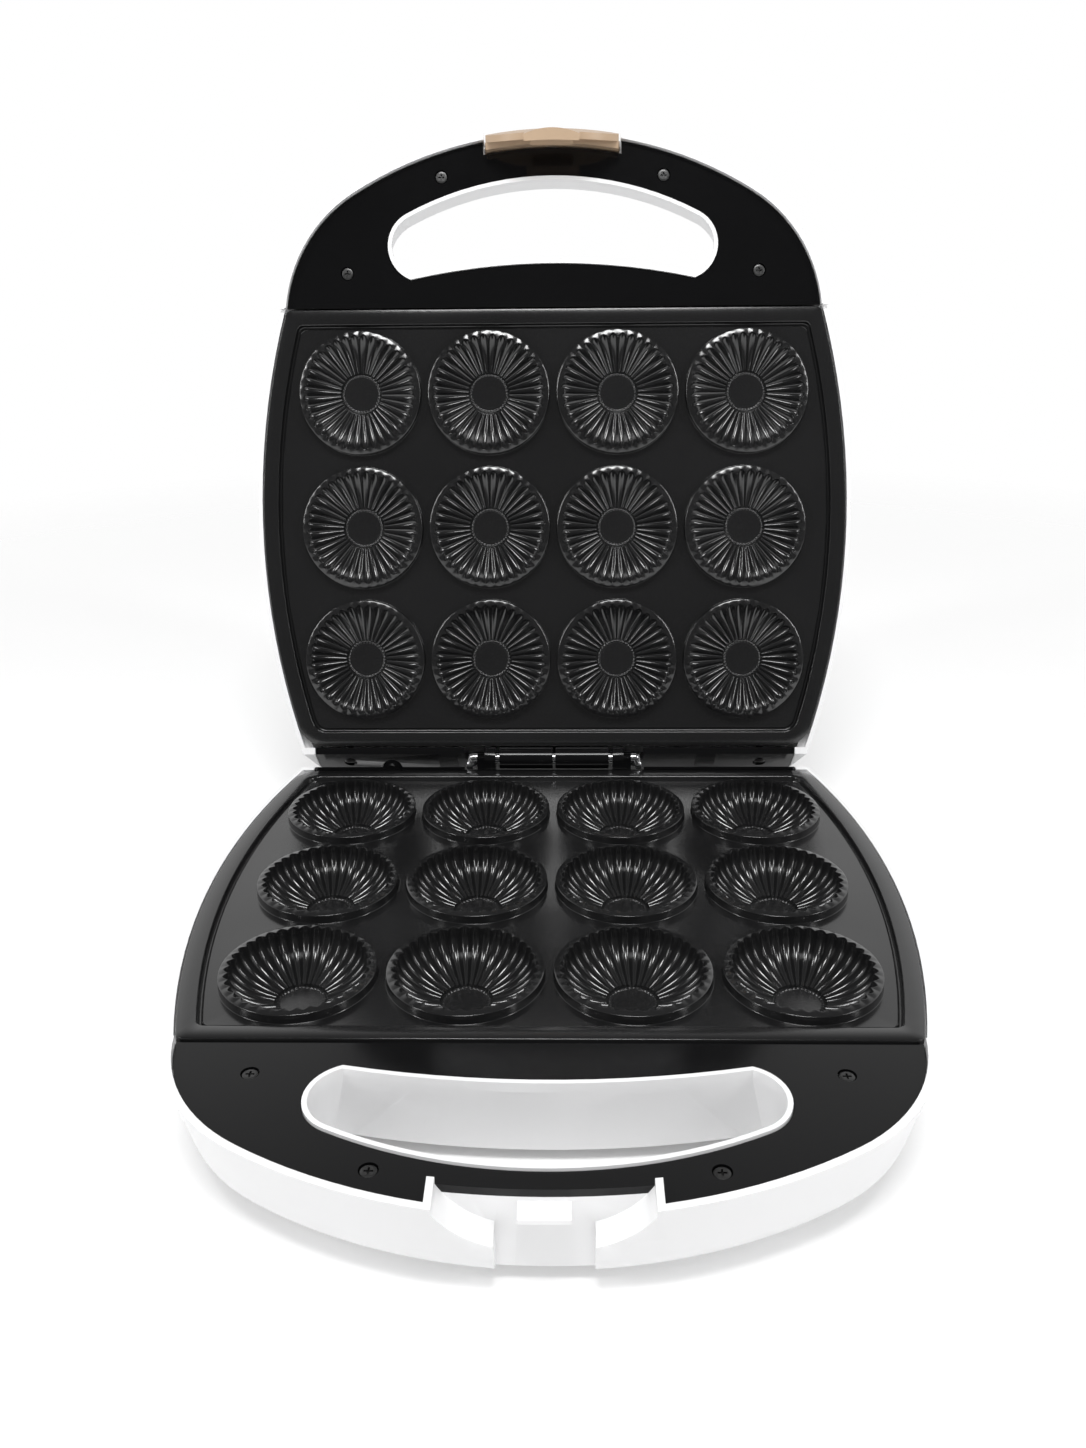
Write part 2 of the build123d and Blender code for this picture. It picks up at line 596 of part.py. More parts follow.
def latch():
    """Shield-shaped latch in its hooked place: bar, tongue with a finger lip, hook and end lugs."""
    outer, inner = LATCH_SKIN
    shield = mirror(shield_shape(1.0), about=Plane.XY) & front_slab(LATCH_HALF, -LATCH_DROP, LATCH_TOP)
    face = latch_skin(outer)
    body = (face - latch_skin(inner)) & shield
    body += (face - latch_skin(-LATCH_BAR_INSET)) & shield & front_slab(LATCH_HALF, *LATCH_BAR_LEVELS)
    pocket = front_slab(HOOK_HALF, -HOOK_LEVELS[0], -LATCH_POCKET_LEVEL)
    body -= latch_skin(LATCH_POCKET_SKIN) & pocket
    lip_radius = (LATCH_TONGUE_HALF ** 2 + LATCH_LIP_SAG ** 2) / (2 * LATCH_LIP_SAG)
    root_y = FRONT_Y - front_offset(outer, LATCH_DROP) + 0.5
    lip = post(0, root_y - LATCH_LIP_SAG + lip_radius, -LATCH_DROP, -SLOT_START + 4, lip_radius)
    lip &= side_profile([
        (root_y - LATCH_LIP_SAG, -LATCH_DROP), (root_y + 1, -LATCH_DROP), (root_y - 2, -SLOT_START + 4),
        (root_y - LATCH_LIP_SAG, -LATCH_DROP + 4),
    ], (-LATCH_TONGUE_HALF, LATCH_TONGUE_HALF))
    body += lip
    hook_root_y = FRONT_Y - front_offset(inner, HOOK_LEVELS[0]) - 1
    top, lip_level, low = HOOK_LEVELS
    body += side_profile([
        (hook_root_y, -top), (HOOK_TIP_Y, -top), (HOOK_TIP_Y, -lip_level), (hook_root_y, -low),
    ], (-HOOK_HALF, HOOK_HALF))
    for side in (-1, 1):
        ends = (side * LATCH_PEG_RANGE[0], side * LATCH_HALF)
        body += bar_along_x(ends, LATCH_PIVOT_Y, LATCH_PIVOT_LEVEL, LATCH_LUG_RADIUS)
        body += block(ends, (LATCH_PIVOT_Y - LATCH_LUG_RADIUS, LATCH_PIVOT_Y),
                      (LATCH_PIVOT_LEVEL - LATCH_LUG_RADIUS, LATCH_PIVOT_LEVEL + LATCH_LUG_RADIUS))
        body -= bar_along_x(ends, LATCH_PIVOT_Y, LATCH_PIVOT_LEVEL, LATCH_PEG_RADIUS + LATCH_PEG_PLAY)
    return body


def resting_latch():
    """Latch swung inward on its pegs, as it hangs on the open lid."""
    to_pivot = Pos(0, -LATCH_PIVOT_Y, -LATCH_PIVOT_LEVEL)
    back = Pos(0, LATCH_PIVOT_Y, LATCH_PIVOT_LEVEL)
    return back * Rot(X=LATCH_REST_ANGLE) * to_pivot * latch()


# Fasteners

def panel_screws():
    """Four screws of a handle panel."""
    seat = PANEL_LEVEL + HEAD_SINK
    return [
        post(x, y, seat - HEAD_THICK, seat, SCREW_HEAD_RADIUS)
        + post(x, y, seat, seat + SCREW_LENGTH, SCREW_SHANK_RADIUS)
        for (x, y) in both_sides(PANEL_SCREWS)
    ]


def frame_screws():
    """Two screws that hold a rear frame to its housing."""
    seat = rear_y(FRAME_SCREW_LEVEL) - HEAD_SINK
    return [
        bar_along_y(x, (seat, seat + HEAD_THICK), FRAME_SCREW_LEVEL, SCREW_HEAD_RADIUS)
        + bar_along_y(x, (FRAME_SCREW_START_Y, seat), FRAME_SCREW_LEVEL, SCREW_SHANK_RADIUS)
        for x in (-FRAME_SCREW_X, FRAME_SCREW_X)
    ]


def plate_screws(seat):
    """Four screws from a seat level up into the posts of a plate."""
    return [
        post(x, y, seat, seat + HEAD_THICK, SCREW_HEAD_RADIUS)
        + post(x, y, SHIELD_LEVEL - SCREW_LENGTH, seat, SCREW_SHANK_RADIUS)
        for (x, y) in both_sides(PLATE_POSTS)
    ]


def latch_pegs():
    """Two pegs that carry the latch in the side walls of its recess."""
    return [
        bar_along_x([side * x for x in LATCH_PEG_RANGE], LATCH_PIVOT_Y, LATCH_PIVOT_LEVEL, LATCH_PEG_RADIUS)
        for side in (-1, 1)
    ]


# Heating and control pieces

def heating_element():
    """Flattened sheathed element: two straight runs between the cup rows and one round bend."""
    low, high = PLATE_BACK_LEVEL, PLATE_BACK_LEVEL + HEATER_HEIGHT
    inside, outside = HEATER_ROW_Y - HEATER_WIDTH / 2, HEATER_ROW_Y + HEATER_WIDTH / 2
    bend = post(HEATER_BEND_X, 0, low, high, outside) - post(HEATER_BEND_X, 0, low - 1, high + 1, inside)
    element = bend & block((HEATER_BEND_X, HALF_WIDTH), (-outside, outside), (low, high))
    for row_y in (-HEATER_ROW_Y, HEATER_ROW_Y):
        run = (row_y - HEATER_WIDTH / 2, row_y + HEATER_WIDTH / 2)
        element += block((HEATER_END_X, HEATER_BEND_X), run, (low, high))
        tag = (row_y - HEATER_WIDTH / 4, row_y + HEATER_WIDTH / 4)
        element += block((HEATER_TERMINAL_END_X, HEATER_END_X), tag, (low + 1, high - 2))
    return element


def heat_shield():
    """Shallow sheet tray behind the plate."""
    level, far = SHIELD_LEVEL, SHIELD_LEVEL + SHIELD_THICK
    tray = block(SHIELD_X, SHIELD_Y, (level - SHIELD_LIP, far))
    inner_x = [x - math.copysign(SHIELD_THICK, x) for x in SHIELD_X]
    inner_y = [y - math.copysign(SHIELD_THICK, y) for y in SHIELD_Y]
    tray -= block(inner_x, inner_y, (0, level))
    for (x, y) in both_sides(PLATE_POSTS):
        tray -= post(x, y, level - 1, far + 1, SCREW_SHANK_RADIUS)
    return tray


def thermostat():
    """Disc thermostat on the back of a plate."""
    return post(THERMOSTAT_X, 0, PLATE_BACK_LEVEL, PLATE_BACK_LEVEL + THERMOSTAT_HEIGHT, THERMOSTAT_RADIUS)


def thermal_fuse():
    """Small sleeved fuse lying against the back of the plate."""
    return bar_along_y(THERMOSTAT_X, FUSE_Y, PLATE_BACK_LEVEL + FUSE_RADIUS, FUSE_RADIUS)


def terminal_block():
    """Two-way block for the supply wires, with open wire ways."""
    body = block(*TERMINAL_BLOCK)
    (left, right), y_range, (low, high) = TERMINAL_BLOCK
    for share in (0.27, 0.73):
        x = left + share * (right - left)
        body -= bar_along_y(x, y_range, (low + high) / 2, CORD_RADIUS / 2)
    return body


def lamp_lens(side):
    """Domed lens of one lamp, with a flange inside the lid."""
    inside = HOUSING_TOP - HOUSING_FLOOR
    flange_level = LAMP_HOLDER[2][1]
    x = side * LENS_X
    dome_radius = (LENS_RADIUS ** 2 + LENS_RISE ** 2) / (2 * LENS_RISE)
    top = HOUSING_TOP + LENS_RISE
    dome = Pos(x, LENS_Y, top - dome_radius) * Sphere(dome_radius)
    body = post(x, LENS_Y, flange_level, top, LENS_RADIUS) & dome
    return body + post(x, LENS_Y, flange_level, inside, LENS_RADIUS + 1)


def lamp_holder():
    """Holder of both lamps, with two feet against the lid."""
    (left, right), y_range, (low, high) = LAMP_HOLDER
    body = block((left, right), y_range, (low, high))
    inside = HOUSING_TOP - HOUSING_FLOOR
    for x_range in ((left, left + 3), (right - 3, right)):
        body += block(x_range, y_range, (high, inside))
    return body


# Feet and cord entry

def foot(x, y):
    """Rubber foot under the base, a little narrower at the floor."""
    narrow, wide = FOOT_RADII
    return Pos(x, y, HOUSING_TOP + FOOT_HEIGHT / 2) * Cone(wide, narrow, FOOT_HEIGHT)


def cord_gland():
    """Bush in the side wall of the base, with the bore for the cord."""
    end = GLAND_FACE_X + GLAND_FLANGE_THICK
    gland = bar_along_x((GLAND_INNER_X, GLAND_FACE_X), GLAND_Y, GLAND_LEVEL, GLAND_BODY_RADIUS)
    gland += bar_along_x((GLAND_FACE_X, end), GLAND_Y, GLAND_LEVEL, GLAND_FLANGE_RADIUS)
    return gland - bar_along_x((GLAND_INNER_X - 1, end + 1), GLAND_Y, GLAND_LEVEL, CORD_RADIUS)


# Assembly

def base_pieces():
    """Pieces of the base, drawn upward, by name."""
    pieces = {
        "base_shell": base_housing(),
        "base_handle_panel": handle_panel(BASE_RECESS_BACK, RECESS_HALF + RECESS_WALL + FIT_GAP),
        "base_plate": baking_plate(),
        "base_rear_frame": base_rear_frame(),
        "base_panel_screws": panel_screws(),
        "base_frame_screws": frame_screws(),
        "base_plate_screws": plate_screws(HOUSING_TOP - WELL_DEPTH),
        "base_heater": heating_element(),
        "base_heat_shield": heat_shield(),
        "thermostat": thermostat(),
        "thermal_fuse": thermal_fuse(),
        "terminal_block": terminal_block(),
        "cord_gland": cord_gland(),
    }
    for end, (x, y) in FEET.items():
        pieces[f"foot_{end}_left"] = foot(-x, y)
        pieces[f"foot_{end}_right"] = foot(x, y)
    return pieces


def lid_pieces():
    """Pieces of the closed lid, by name."""
    return {
        "lid_shell": lid_housing(),
        "lid_handle_panel": handle_panel(LID_RECESS_BACK, RECESS_HALF + FIT_GAP),
        "lid_plate": baking_plate(),
        "lid_rear_frame": lid_rear_frame(),
        "lid_panel_screws": panel_screws(),
        "lid_frame_screws": frame_screws(),
        "lid_shield_screws": plate_screws(SHIELD_LEVEL + SHIELD_THICK),
        "lid_heater": heating_element(),
        "lid_heat_shield": heat_shield(),
        "lid_limiter": thermostat(),
        "power_lens": lamp_lens(-1),
        "ready_lens": lamp_lens(1),
        "lamp_holder": lamp_holder(),
        "latch_pegs": latch_pegs(),
        "latch": resting_latch(),
    }


def solids_of(piece):
    """List of the separate solids of a piece."""
    members = piece if isinstance(piece, list) else [piece]
    return [solid for member in members for solid in member.solids()]


def assembled():
    """Every piece in its place with the lid open, before the origin is set."""
    opened = Pos(0, HINGE_Y, HINGE_Z) * Rot(X=-OPEN_ANGLE) * Pos(0, -HINGE_Y, -HINGE_Z)
    placed = {
        name: [mirror(solid, about=Plane.XY) for solid in solids_of(piece)]
        for name, piece in base_pieces().items()
    }
    placed["hinge_pin"] = solids_of(hinge_pin())
    for name, piece in lid_pieces().items():
        placed[name] = [opened * solid for solid in solids_of(piece)]
    return placed


def main():
    os.makedirs("parts", exist_ok=True)
    placed = assembled()
    box = Compound([solid for solids in placed.values() for solid in solids]).bounding_box()
    centre = box.center()
    to_origin = Pos(-centre.X, -centre.Y, -box.min.Z)
    for name, solids in placed.items():
        moved = [to_origin * solid for solid in solids]
        export_step(moved[0] if len(moved) == 1 else Compound(moved), f"parts/{name}.step")
    print("parting plane at", round(-box.min.Z, 3), "cup grid centre at y", round(-centre.Y, 3))


if __name__ == "__main__":
    main()
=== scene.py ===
"""Maamoul maker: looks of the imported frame, laid out as an add-on.

Pieces are drawn in millimetres as the closed lid lies, with levels measured upwards from the
parting plane. The base is the mirror image below that plane, and the lid is turned open about the
hinge.
"""

import json
import math

import bmesh
import bpy
from mathutils import Matrix, Vector

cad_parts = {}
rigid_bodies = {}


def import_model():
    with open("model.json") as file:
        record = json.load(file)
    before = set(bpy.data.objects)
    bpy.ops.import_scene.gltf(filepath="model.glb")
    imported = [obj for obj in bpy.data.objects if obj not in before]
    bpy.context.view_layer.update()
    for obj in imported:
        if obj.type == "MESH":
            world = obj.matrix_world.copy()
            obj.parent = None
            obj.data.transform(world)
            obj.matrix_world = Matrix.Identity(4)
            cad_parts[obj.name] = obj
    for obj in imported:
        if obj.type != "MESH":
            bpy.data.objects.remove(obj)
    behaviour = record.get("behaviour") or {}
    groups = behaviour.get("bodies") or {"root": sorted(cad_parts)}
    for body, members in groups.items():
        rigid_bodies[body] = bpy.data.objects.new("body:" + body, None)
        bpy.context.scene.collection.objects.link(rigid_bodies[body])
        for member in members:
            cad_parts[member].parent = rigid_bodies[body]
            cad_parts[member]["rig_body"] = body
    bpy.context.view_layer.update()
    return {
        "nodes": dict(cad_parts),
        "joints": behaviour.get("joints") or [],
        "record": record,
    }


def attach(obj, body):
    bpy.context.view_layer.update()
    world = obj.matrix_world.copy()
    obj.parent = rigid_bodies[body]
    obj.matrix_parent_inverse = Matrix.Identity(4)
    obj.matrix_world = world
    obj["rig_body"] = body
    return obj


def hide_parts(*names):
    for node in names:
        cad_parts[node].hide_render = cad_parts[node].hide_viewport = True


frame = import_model()

bl_info = {
    "name": "Maamoul maker",
    "version": (1, 0, 0),
    "blender": (4, 5, 0),
    "location": "3D View > Sidebar > Maamoul maker",
    "description": "Builds the looks of a maamoul maker around its packed frame",
    "category": "Object",
}

# The drawing in the frame: a millimetre in metres, and the hinge's place in the drawing

MM = 0.001
HINGE_JOINT = next(joint for joint in frame["joints"] if joint["name"] == "lid_hinge")
HINGE_DEPTH = 96.8
HINGE_LEVEL = 1.1
OPEN_ANGLE = math.radians(max(HINGE_JOINT["range_deg"]))
FRAME_DEPTH = HINGE_JOINT["pos_m"][1] / MM - HINGE_DEPTH
PARTING_HEIGHT = HINGE_JOINT["pos_m"][2] / MM - HINGE_LEVEL

TO_FRAME = Matrix.Scale(MM, 4) @ Matrix.Translation((0, FRAME_DEPTH, PARTING_HEIGHT))
LID_TURN = (
    Matrix.Translation((0, HINGE_DEPTH, HINGE_LEVEL))
    @ Matrix.Rotation(-OPEN_ANGLE, 4, "X")
    @ Matrix.Translation((0, -HINGE_DEPTH, -HINGE_LEVEL))
)
PLACES = {
    "base": TO_FRAME @ Matrix.Scale(-1, 4, (0, 0, 1)),
    "lid": TO_FRAME @ LID_TURN,
}


# Plates, in millimetres, with levels above the parting plane

RIM_LEVEL = 0.2
FIELD_LEVEL = 3.8
PLATE_BACK = 5.9
PLATE_FRONT = -88.5
PLATE_REAR = 92.0
SIDE_RADIUS = 312.9
SIDE_CENTRE = (-191.9, -3.7)
SIDE_STEPS = 20
FRONT_CORNER = 2.0
REAR_CORNER = 8.0
REAR_CORNER_LOSS = 0.6
CORNER_STEPS = 5

# Insets and levels of the plate's outlines: outer wall, flange, drip groove, edge of the field
PLATE_RINGS = (
    (0.0, PLATE_BACK), (0.0, 2.75), (0.1, 2.5), (0.35, 2.4), (5.75, 2.42), (6.0, 2.5), (6.15, 2.8),
    (6.3, 4.2), (6.55, 4.5), (7.25, 4.52), (7.45, 4.3), (7.55, 3.62), (7.65, 3.56), (7.8, 3.79),
    (8.0, FIELD_LEVEL),
)

# Bowls on a plate's back, over its cups
BOWL_SIDES = 24
BOWL_MOUTH = 22.8
BOWL_RINGS = ((20.5, 0.55), (14.6, 1.0))
BOWL_WALL = 2.2
BOWL_LEAST = 1.8


# Cups, in millimetres

CUP_COLUMNS = 4
CUP_ROWS = 3

# Where the points of a flute lie from one ridge to the next
FLUTE_PARTS = (0.0, 0.07, 0.19, 0.34, 0.5, 0.66, 0.81, 0.93)
WALL_STEPS = 10
WALL_CROWDING = 1.1
WALL_ROUNDNESS = {"base": 2.2, "lid": 1.8}
TOOTH_SHARPNESS = 1.5
RIDGE_SHARPENING = 0.5
SHARPENING_PACE = 3.0
RIDGE_LOSS = 0.66
RIDGE_LOSS_POWER = 1.3
LEAST_SINK = 0.02
LEAST_SINK_GAIN = 0.1
RIM_FOOT = 0.4

# Distance from the rim's radius, and level, from the foot to the inner slope of the rim
RIM_OUTSIDE = (
    (0.25, FIELD_LEVEL - 0.003), (0.14, FIELD_LEVEL - 0.08), (0.05, FIELD_LEVEL - 0.3), (0.0, 0.95),
    (-0.04, 0.82), (-0.16, 0.72), (-0.5, 0.6),
)
# Distance from the flute's tip, and level, of the rim's scalloped edge
RIM_SCALLOPS = ((0.3, RIM_LEVEL), (0.1, RIM_LEVEL - 0.02))
CUP_FLOOR_RADIUS = 8.6
FLOOR_SINK = 0.1
FLOOR_STEPS = ((8.35, 0.05), (8.1, FLOOR_SINK))
BEAD_RINGS = ((7.85, 0.35), (7.5, 0.62), (7.15, 0.35), (6.95, 0.0))
BEAD_LEAST = 0.3
FLOOR_DISC = 6.6


# Fasteners and feet, in millimetres: radius and level from the head to the tip

SLOT_HALF = 0.3
SLOT_REACH = 1.25
PANEL_SCREW = (
    (1.9, 3.6), (2.25, 3.72), (2.4, 4.0), (2.4, 4.9), (1.4, 4.9), (1.4, 12.7), (1.2, 12.9),
)
PANEL_RECESS = 0.9
PANEL_SCREW_PLACES = ((84, -103, 0), (-84, -103, 0), (45, -140.5, 0), (-45, -140.5, 0))
FRAME_SCREW = (
    (2.0, -99.68), (2.4, -99.5), (2.6, -99.1), (2.6, -98.38), (1.4, -98.38), (1.4, -85.0),
)
FRAME_SCREW_PLACES = ((-88, 0, 9.5), (88, 0, 9.5))
POST_SCREW_PLACES = ((-95.5, -74, 0), (-95.5, 74, 0), (95.5, -74, 0), (95.5, 74, 0))
# Half, plain piece, and the level that the heads sit at
POST_SCREWS = (("base", "base_plate_screws", 26.5), ("lid", "lid_shield_screws", 21.8))
# Radius, and height over that level
POST_SCREW_HEAD = ((2.0, 1.3), (2.5, 1.0), (2.7, 0.0), (1.4, 0.0))
POST_SCREW_TIP = (1.4, -13.0)
DEEP_RECESS = 0.8
FOOT = (
    (8.0, 30.0), (8.0, 31.2), (7.7, 31.6), (7.3, 34.2), (6.8, 34.8), (6.0, 35.0), (4.6, 35.0),
    (4.2, 34.6), (3.9, 33.2),
)
FOOT_ROWS = (("front", -84), ("rear", 94))
FOOT_SIDES = (("left", -82), ("right", 82))
TURNED_SIDES = 32


# Reaches: a weld's in metres, an open edge's and a cap's in millimetres, a ring's start in radians

WELD_REACH = 2e-6
OPEN_EDGE_REACH = 0.01
CAP_REACH = 1e-4
RING_CUT = 1e-4


# Angles in degrees: what is flat, what is rounded, what stays crisp

FLAT_ANGLE = 0.6
SOFT_ANGLE = 28.0
SOFT_SEGMENTS = 2
TURNED_ANGLE = 35.0
PLATE_ANGLE = 50.0


# Values of the finishes, with grains to the metre

NOISE_LOW = 0.3
NOISE_HIGH = 0.7
FINE_GRAIN = 2600.0
STREAKS_ACROSS = 900.0
STREAKS_ALONG = 25.0
# Slot, colour, roughness and the axis of the streaks
METALS = (
    ("black_steel", (0.10, 0.10, 0.10), 0.38, "X"),
    ("bright_steel", (0.62, 0.62, 0.63), 0.26, "X"),
    ("heater_sheath", (0.42, 0.42, 0.42), 0.5, "X"),
    ("shield_sheet", (0.66, 0.66, 0.66), 0.34, "Y"),
)
# Slot, colour and roughness
MATT_BODIES = (
    ("ceramic_body", (0.72, 0.68, 0.6), 0.6),
    ("fuse_sleeve", (0.78, 0.76, 0.7), 0.85),
    ("natural_plastic", (0.75, 0.74, 0.68), 0.5),
    ("black_bush", (0.02, 0.02, 0.02), 0.5),
    ("foot_rubber", (0.03, 0.03, 0.03), 0.8),
)
# Slot and colour
LENSES = (("red_lens", (0.6, 0.03, 0.02)), ("green_lens", (0.03, 0.45, 0.08)))


# Stage, in metres

FLOOR_RADIUS = 2.4
FLOOR_SIDES = 96
FLOOR_FADE = (0.36, 0.85)
FLOOR_SHADOW = 0.86
FLOOR_DIMMING = 0.03
PAPER_GRAIN = 900.0
PAPER_TONES = (0.80, 0.82)
SOFT_LIGHT = 0.62
ROOM_DEPTHS = (-0.35, 0.25)
ROOM_HEIGHTS = (0.5, 0.8)
ROOM_FRONT = 0.1
ROOM_TOP = 0.12
LAMP_AIM = (0.0, 0.0, 0.1)
# Name, place, width, length and watts of each lamp
LAMPS = (
    ("key_light", (0.0, -0.5, 1.15), 0.46, 0.24, 7.0),
    ("left_light", (-1.0, -0.45, 0.75), 0.12, 0.6, 4.0),
    ("right_light", (1.0, -0.45, 0.75), 0.12, 0.6, 4.0),
)

# Camera: turn in degrees, place in millimetres, focal length in pixels of the photograph
CAMERA_YAW = 1.275
CAMERA_PITCH = 23.642
CAMERA_ROLL = -0.614
CAMERA_PLACE = (6.268, -389.186, 229.506)
FOCAL_PIXELS = 1264.551
PHOTO_HEIGHT = 1448.0
SENSOR_WIDTH = 36.0


# Settings

class MaamoulPlateSettings(bpy.types.PropertyGroup):
    """Sizes of the baking plates, in metres"""

    pitch_x: bpy.props.FloatProperty(
        name="Cup pitch across", description="Distance between cup columns",
        default=0.053, unit="LENGTH")
    pitch_y: bpy.props.FloatProperty(
        name="Cup pitch in depth", description="Distance between cup rows",
        default=0.055, unit="LENGTH")
    rim_radius: bpy.props.FloatProperty(
        name="Rim radius", description="Outer radius of a raised cup rim",
        default=0.025, unit="LENGTH")
    cup_radius: bpy.props.FloatProperty(
        name="Cup radius", description="Radius to the tips of the flutes",
        default=0.0233, unit="LENGTH")
    base_depth: bpy.props.FloatProperty(
        name="Base cup depth", description="Depth of the deep base cups below the parting plane",
        default=0.0138, unit="LENGTH")
    lid_depth: bpy.props.FloatProperty(
        name="Lid cup depth", description="Depth of the shallow lid cups below the parting plane",
        default=0.0056, unit="LENGTH")
    flute_depth: bpy.props.FloatProperty(
        name="Flute depth", description="Height of a ridge between two flutes at the rim",
        default=0.0016, unit="LENGTH")
    flutes: bpy.props.IntProperty(
        name="Flutes", description="Flutes round each cup", default=36, min=8, max=60)


class MaamoulColourSettings(bpy.types.PropertyGroup):
    """Colours of the finishes"""

    housing: bpy.props.FloatVectorProperty(
        name="Housing", description="White moulded plastic", subtype="COLOR",
        default=(0.83, 0.83, 0.835), min=0, max=1)
    panel: bpy.props.FloatVectorProperty(
        name="Handle panel", description="Black glossy plastic", subtype="COLOR",
        default=(0.0035, 0.0035, 0.0038), min=0, max=1)
    coating: bpy.props.FloatVectorProperty(
        name="Plate coating", description="Black non-stick coating", subtype="COLOR",
        default=(0.0075, 0.0075, 0.0078), min=0, max=1)
    latch: bpy.props.FloatVectorProperty(
        name="Latch", description="Beige moulded plastic", subtype="COLOR",
        default=(0.46, 0.33, 0.22), min=0, max=1)
    backdrop: bpy.props.FloatVectorProperty(
        name="Backdrop", description="Colour of floor and background", subtype="COLOR",
        default=(1.0, 1.0, 1.0), min=0, max=1)


# Shader expressions

class Signal:
    """One socket of a finish. Arithmetic on it adds Math nodes."""

    def __init__(self, finish, socket):
        self.finish = finish
        self.socket = socket

    def _math(self, operation, *values):
        return self.finish.node("ShaderNodeMath", {"operation": operation}, dict(enumerate(values)))

    def __add__(self, other):
        return self._math("ADD", self, other)

    def __radd__(self, other):
        return self._math("ADD", other, self)

    def __sub__(self, other):
        return self._math("SUBTRACT", self, other)

    def __rsub__(self, other):
        return self._math("SUBTRACT", other, self)

    def __mul__(self, other):
        return self._math("MULTIPLY", self, other)

    def __rmul__(self, other):
        return self._math("MULTIPLY", other, self)


class Finish:
    """Node tree of one material or world, built from expressions."""

    def __init__(self, owner):
        owner.use_nodes = True
        self.owner = owner
        self.tree = owner.node_tree
        self.tree.nodes.clear()

    def node(self, kind, settings=None, inputs=None, output=0):
        """Adds a node: its settings first, then the values or links of its sockets."""
        made = self.tree.nodes.new(kind)
        for key, value in (settings or {}).items():
            setattr(made, key, value)
        for key, value in (inputs or {}).items():
            if isinstance(value, Signal):
                self.tree.links.new(value.socket, made.inputs[key])
            else:
                made.inputs[key].default_value = value
        return Signal(self, made.outputs[output]) if made.outputs else None

    def place(self):
        """Object coordinates, in metres."""
        return self.node("ShaderNodeTexCoord", output="Object")

    def noise(self, scale, detail=2.0, roughness=0.5, place=None):
        """Noise from 0 to 1 at a number of grains to the metre."""
        return self.node("ShaderNodeTexNoise", {}, {
            "Vector": place or self.place(), "Scale": scale, "Detail": detail,
            "Roughness": roughness})

    def between(self, amount, first, second):
        """Colour between two colours."""
        return self.node(
            "ShaderNodeMix", {"data_type": "RGBA"}, {0: amount, 6: first, 7: second}, output=2)

    def spread(self, signal, low, high, to_low=0.0, to_high=1.0):
        """Maps one range to another, held at its ends."""
        return self.node("ShaderNodeMapRange", {"clamp": True}, {
            "Value": signal, "From Min": low, "From Max": high,
            "To Min": to_low, "To Max": to_high})

    def varied(self, noise, low, high):
        """Value that follows a noise from low to high."""
        return self.spread(noise, NOISE_LOW, NOISE_HIGH, low, high)

    def bump(self, height, distance, strength):
        """Surface normal raised by a height signal, over a distance in metres."""
        return self.node("ShaderNodeBump", {}, {
            "Height": height, "Distance": distance, "Strength": strength})

    def surface(self, **inputs):
        """Principled surface, joined to the output."""
        named = {key.replace("_", " "): value for key, value in inputs.items()}
        shader = self.node("ShaderNodeBsdfPrincipled", {}, named)
        self.node("ShaderNodeOutputMaterial", {}, {"Surface": shader})
        return self.owner


def rgba(colour):
    """Colour with full alpha."""
    return (*tuple(colour)[:3], 1.0)


def shade(colour, factor):
    """Colour made lighter or darker, with full alpha."""
    return (*[min(1.0, part * factor) for part in tuple(colour)[:3]], 1.0)


# Finishes

def new_finish(name):
    """Empty finish of a new material."""
    return Finish(bpy.data.materials.new(name))


def moulded(name, colour, patches, tint, gloss, specular, grain_strength):
    """Satin moulded plastic: faint patches of tone and gloss over a fine grain."""
    finish = new_finish(name)
    cloud = finish.noise(patches, detail=3.0)
    grain = finish.noise(FINE_GRAIN)
    return finish.surface(
        Base_Color=finish.between(cloud, *(shade(colour, factor) for factor in tint)),
        Roughness=finish.varied(cloud, *gloss),
        Specular_IOR_Level=specular,
        Normal=finish.bump(grain, distance=0.00002, strength=grain_strength))


def glossy_black(colour):
    """Black glossy plastic with light wiping marks."""
    finish = new_finish("black_plastic")
    cloud = finish.noise(14.0, detail=4.0)
    wipes = finish.noise(160.0, detail=3.0, roughness=0.6)
    return finish.surface(
        Base_Color=finish.between(cloud, shade(colour, 0.8), shade(colour, 1.3)),
        Roughness=finish.varied(cloud * 0.6 + wipes * 0.4, low=0.10, high=0.17),
        Specular_IOR_Level=0.3,
        Normal=finish.bump(wipes, distance=0.00002, strength=0.12))


def nonstick_coating(colour):
    """Black sprayed non-stick coating: fine pebbling, slightly uneven gloss."""
    finish = new_finish("coated_casting")
    cloud = finish.noise(22.0, detail=3.0)
    pebble = finish.noise(1500.0, detail=3.0, roughness=0.6)
    speck = finish.spread(finish.noise(5200.0, detail=1.0), low=0.66, high=0.74)
    tone = finish.between(cloud, shade(colour, 0.75), shade(colour, 1.35))
    return finish.surface(
        Base_Color=finish.between(speck * 0.35, tone, shade(colour, 5.0)),
        Roughness=finish.varied(cloud * 0.5 + pebble * 0.5, low=0.15, high=0.21),
        Specular_IOR_Level=0.8,
        Normal=finish.bump(pebble, distance=0.00003, strength=0.25))


def matt_body(name, colour, roughness):
    """Matt plastic, ceramic or rubber with a fine grain."""
    finish = new_finish(name)
    cloud = finish.noise(45.0, detail=3.0)
    grain = finish.noise(1900.0, detail=3.0, roughness=0.6)
    return finish.surface(
        Base_Color=finish.between(cloud, shade(colour, 0.9), shade(colour, 1.08)),
        Roughness=finish.varied(grain, roughness - 0.05, roughness + 0.05),
        Normal=finish.bump(grain, distance=0.00004, strength=0.4))


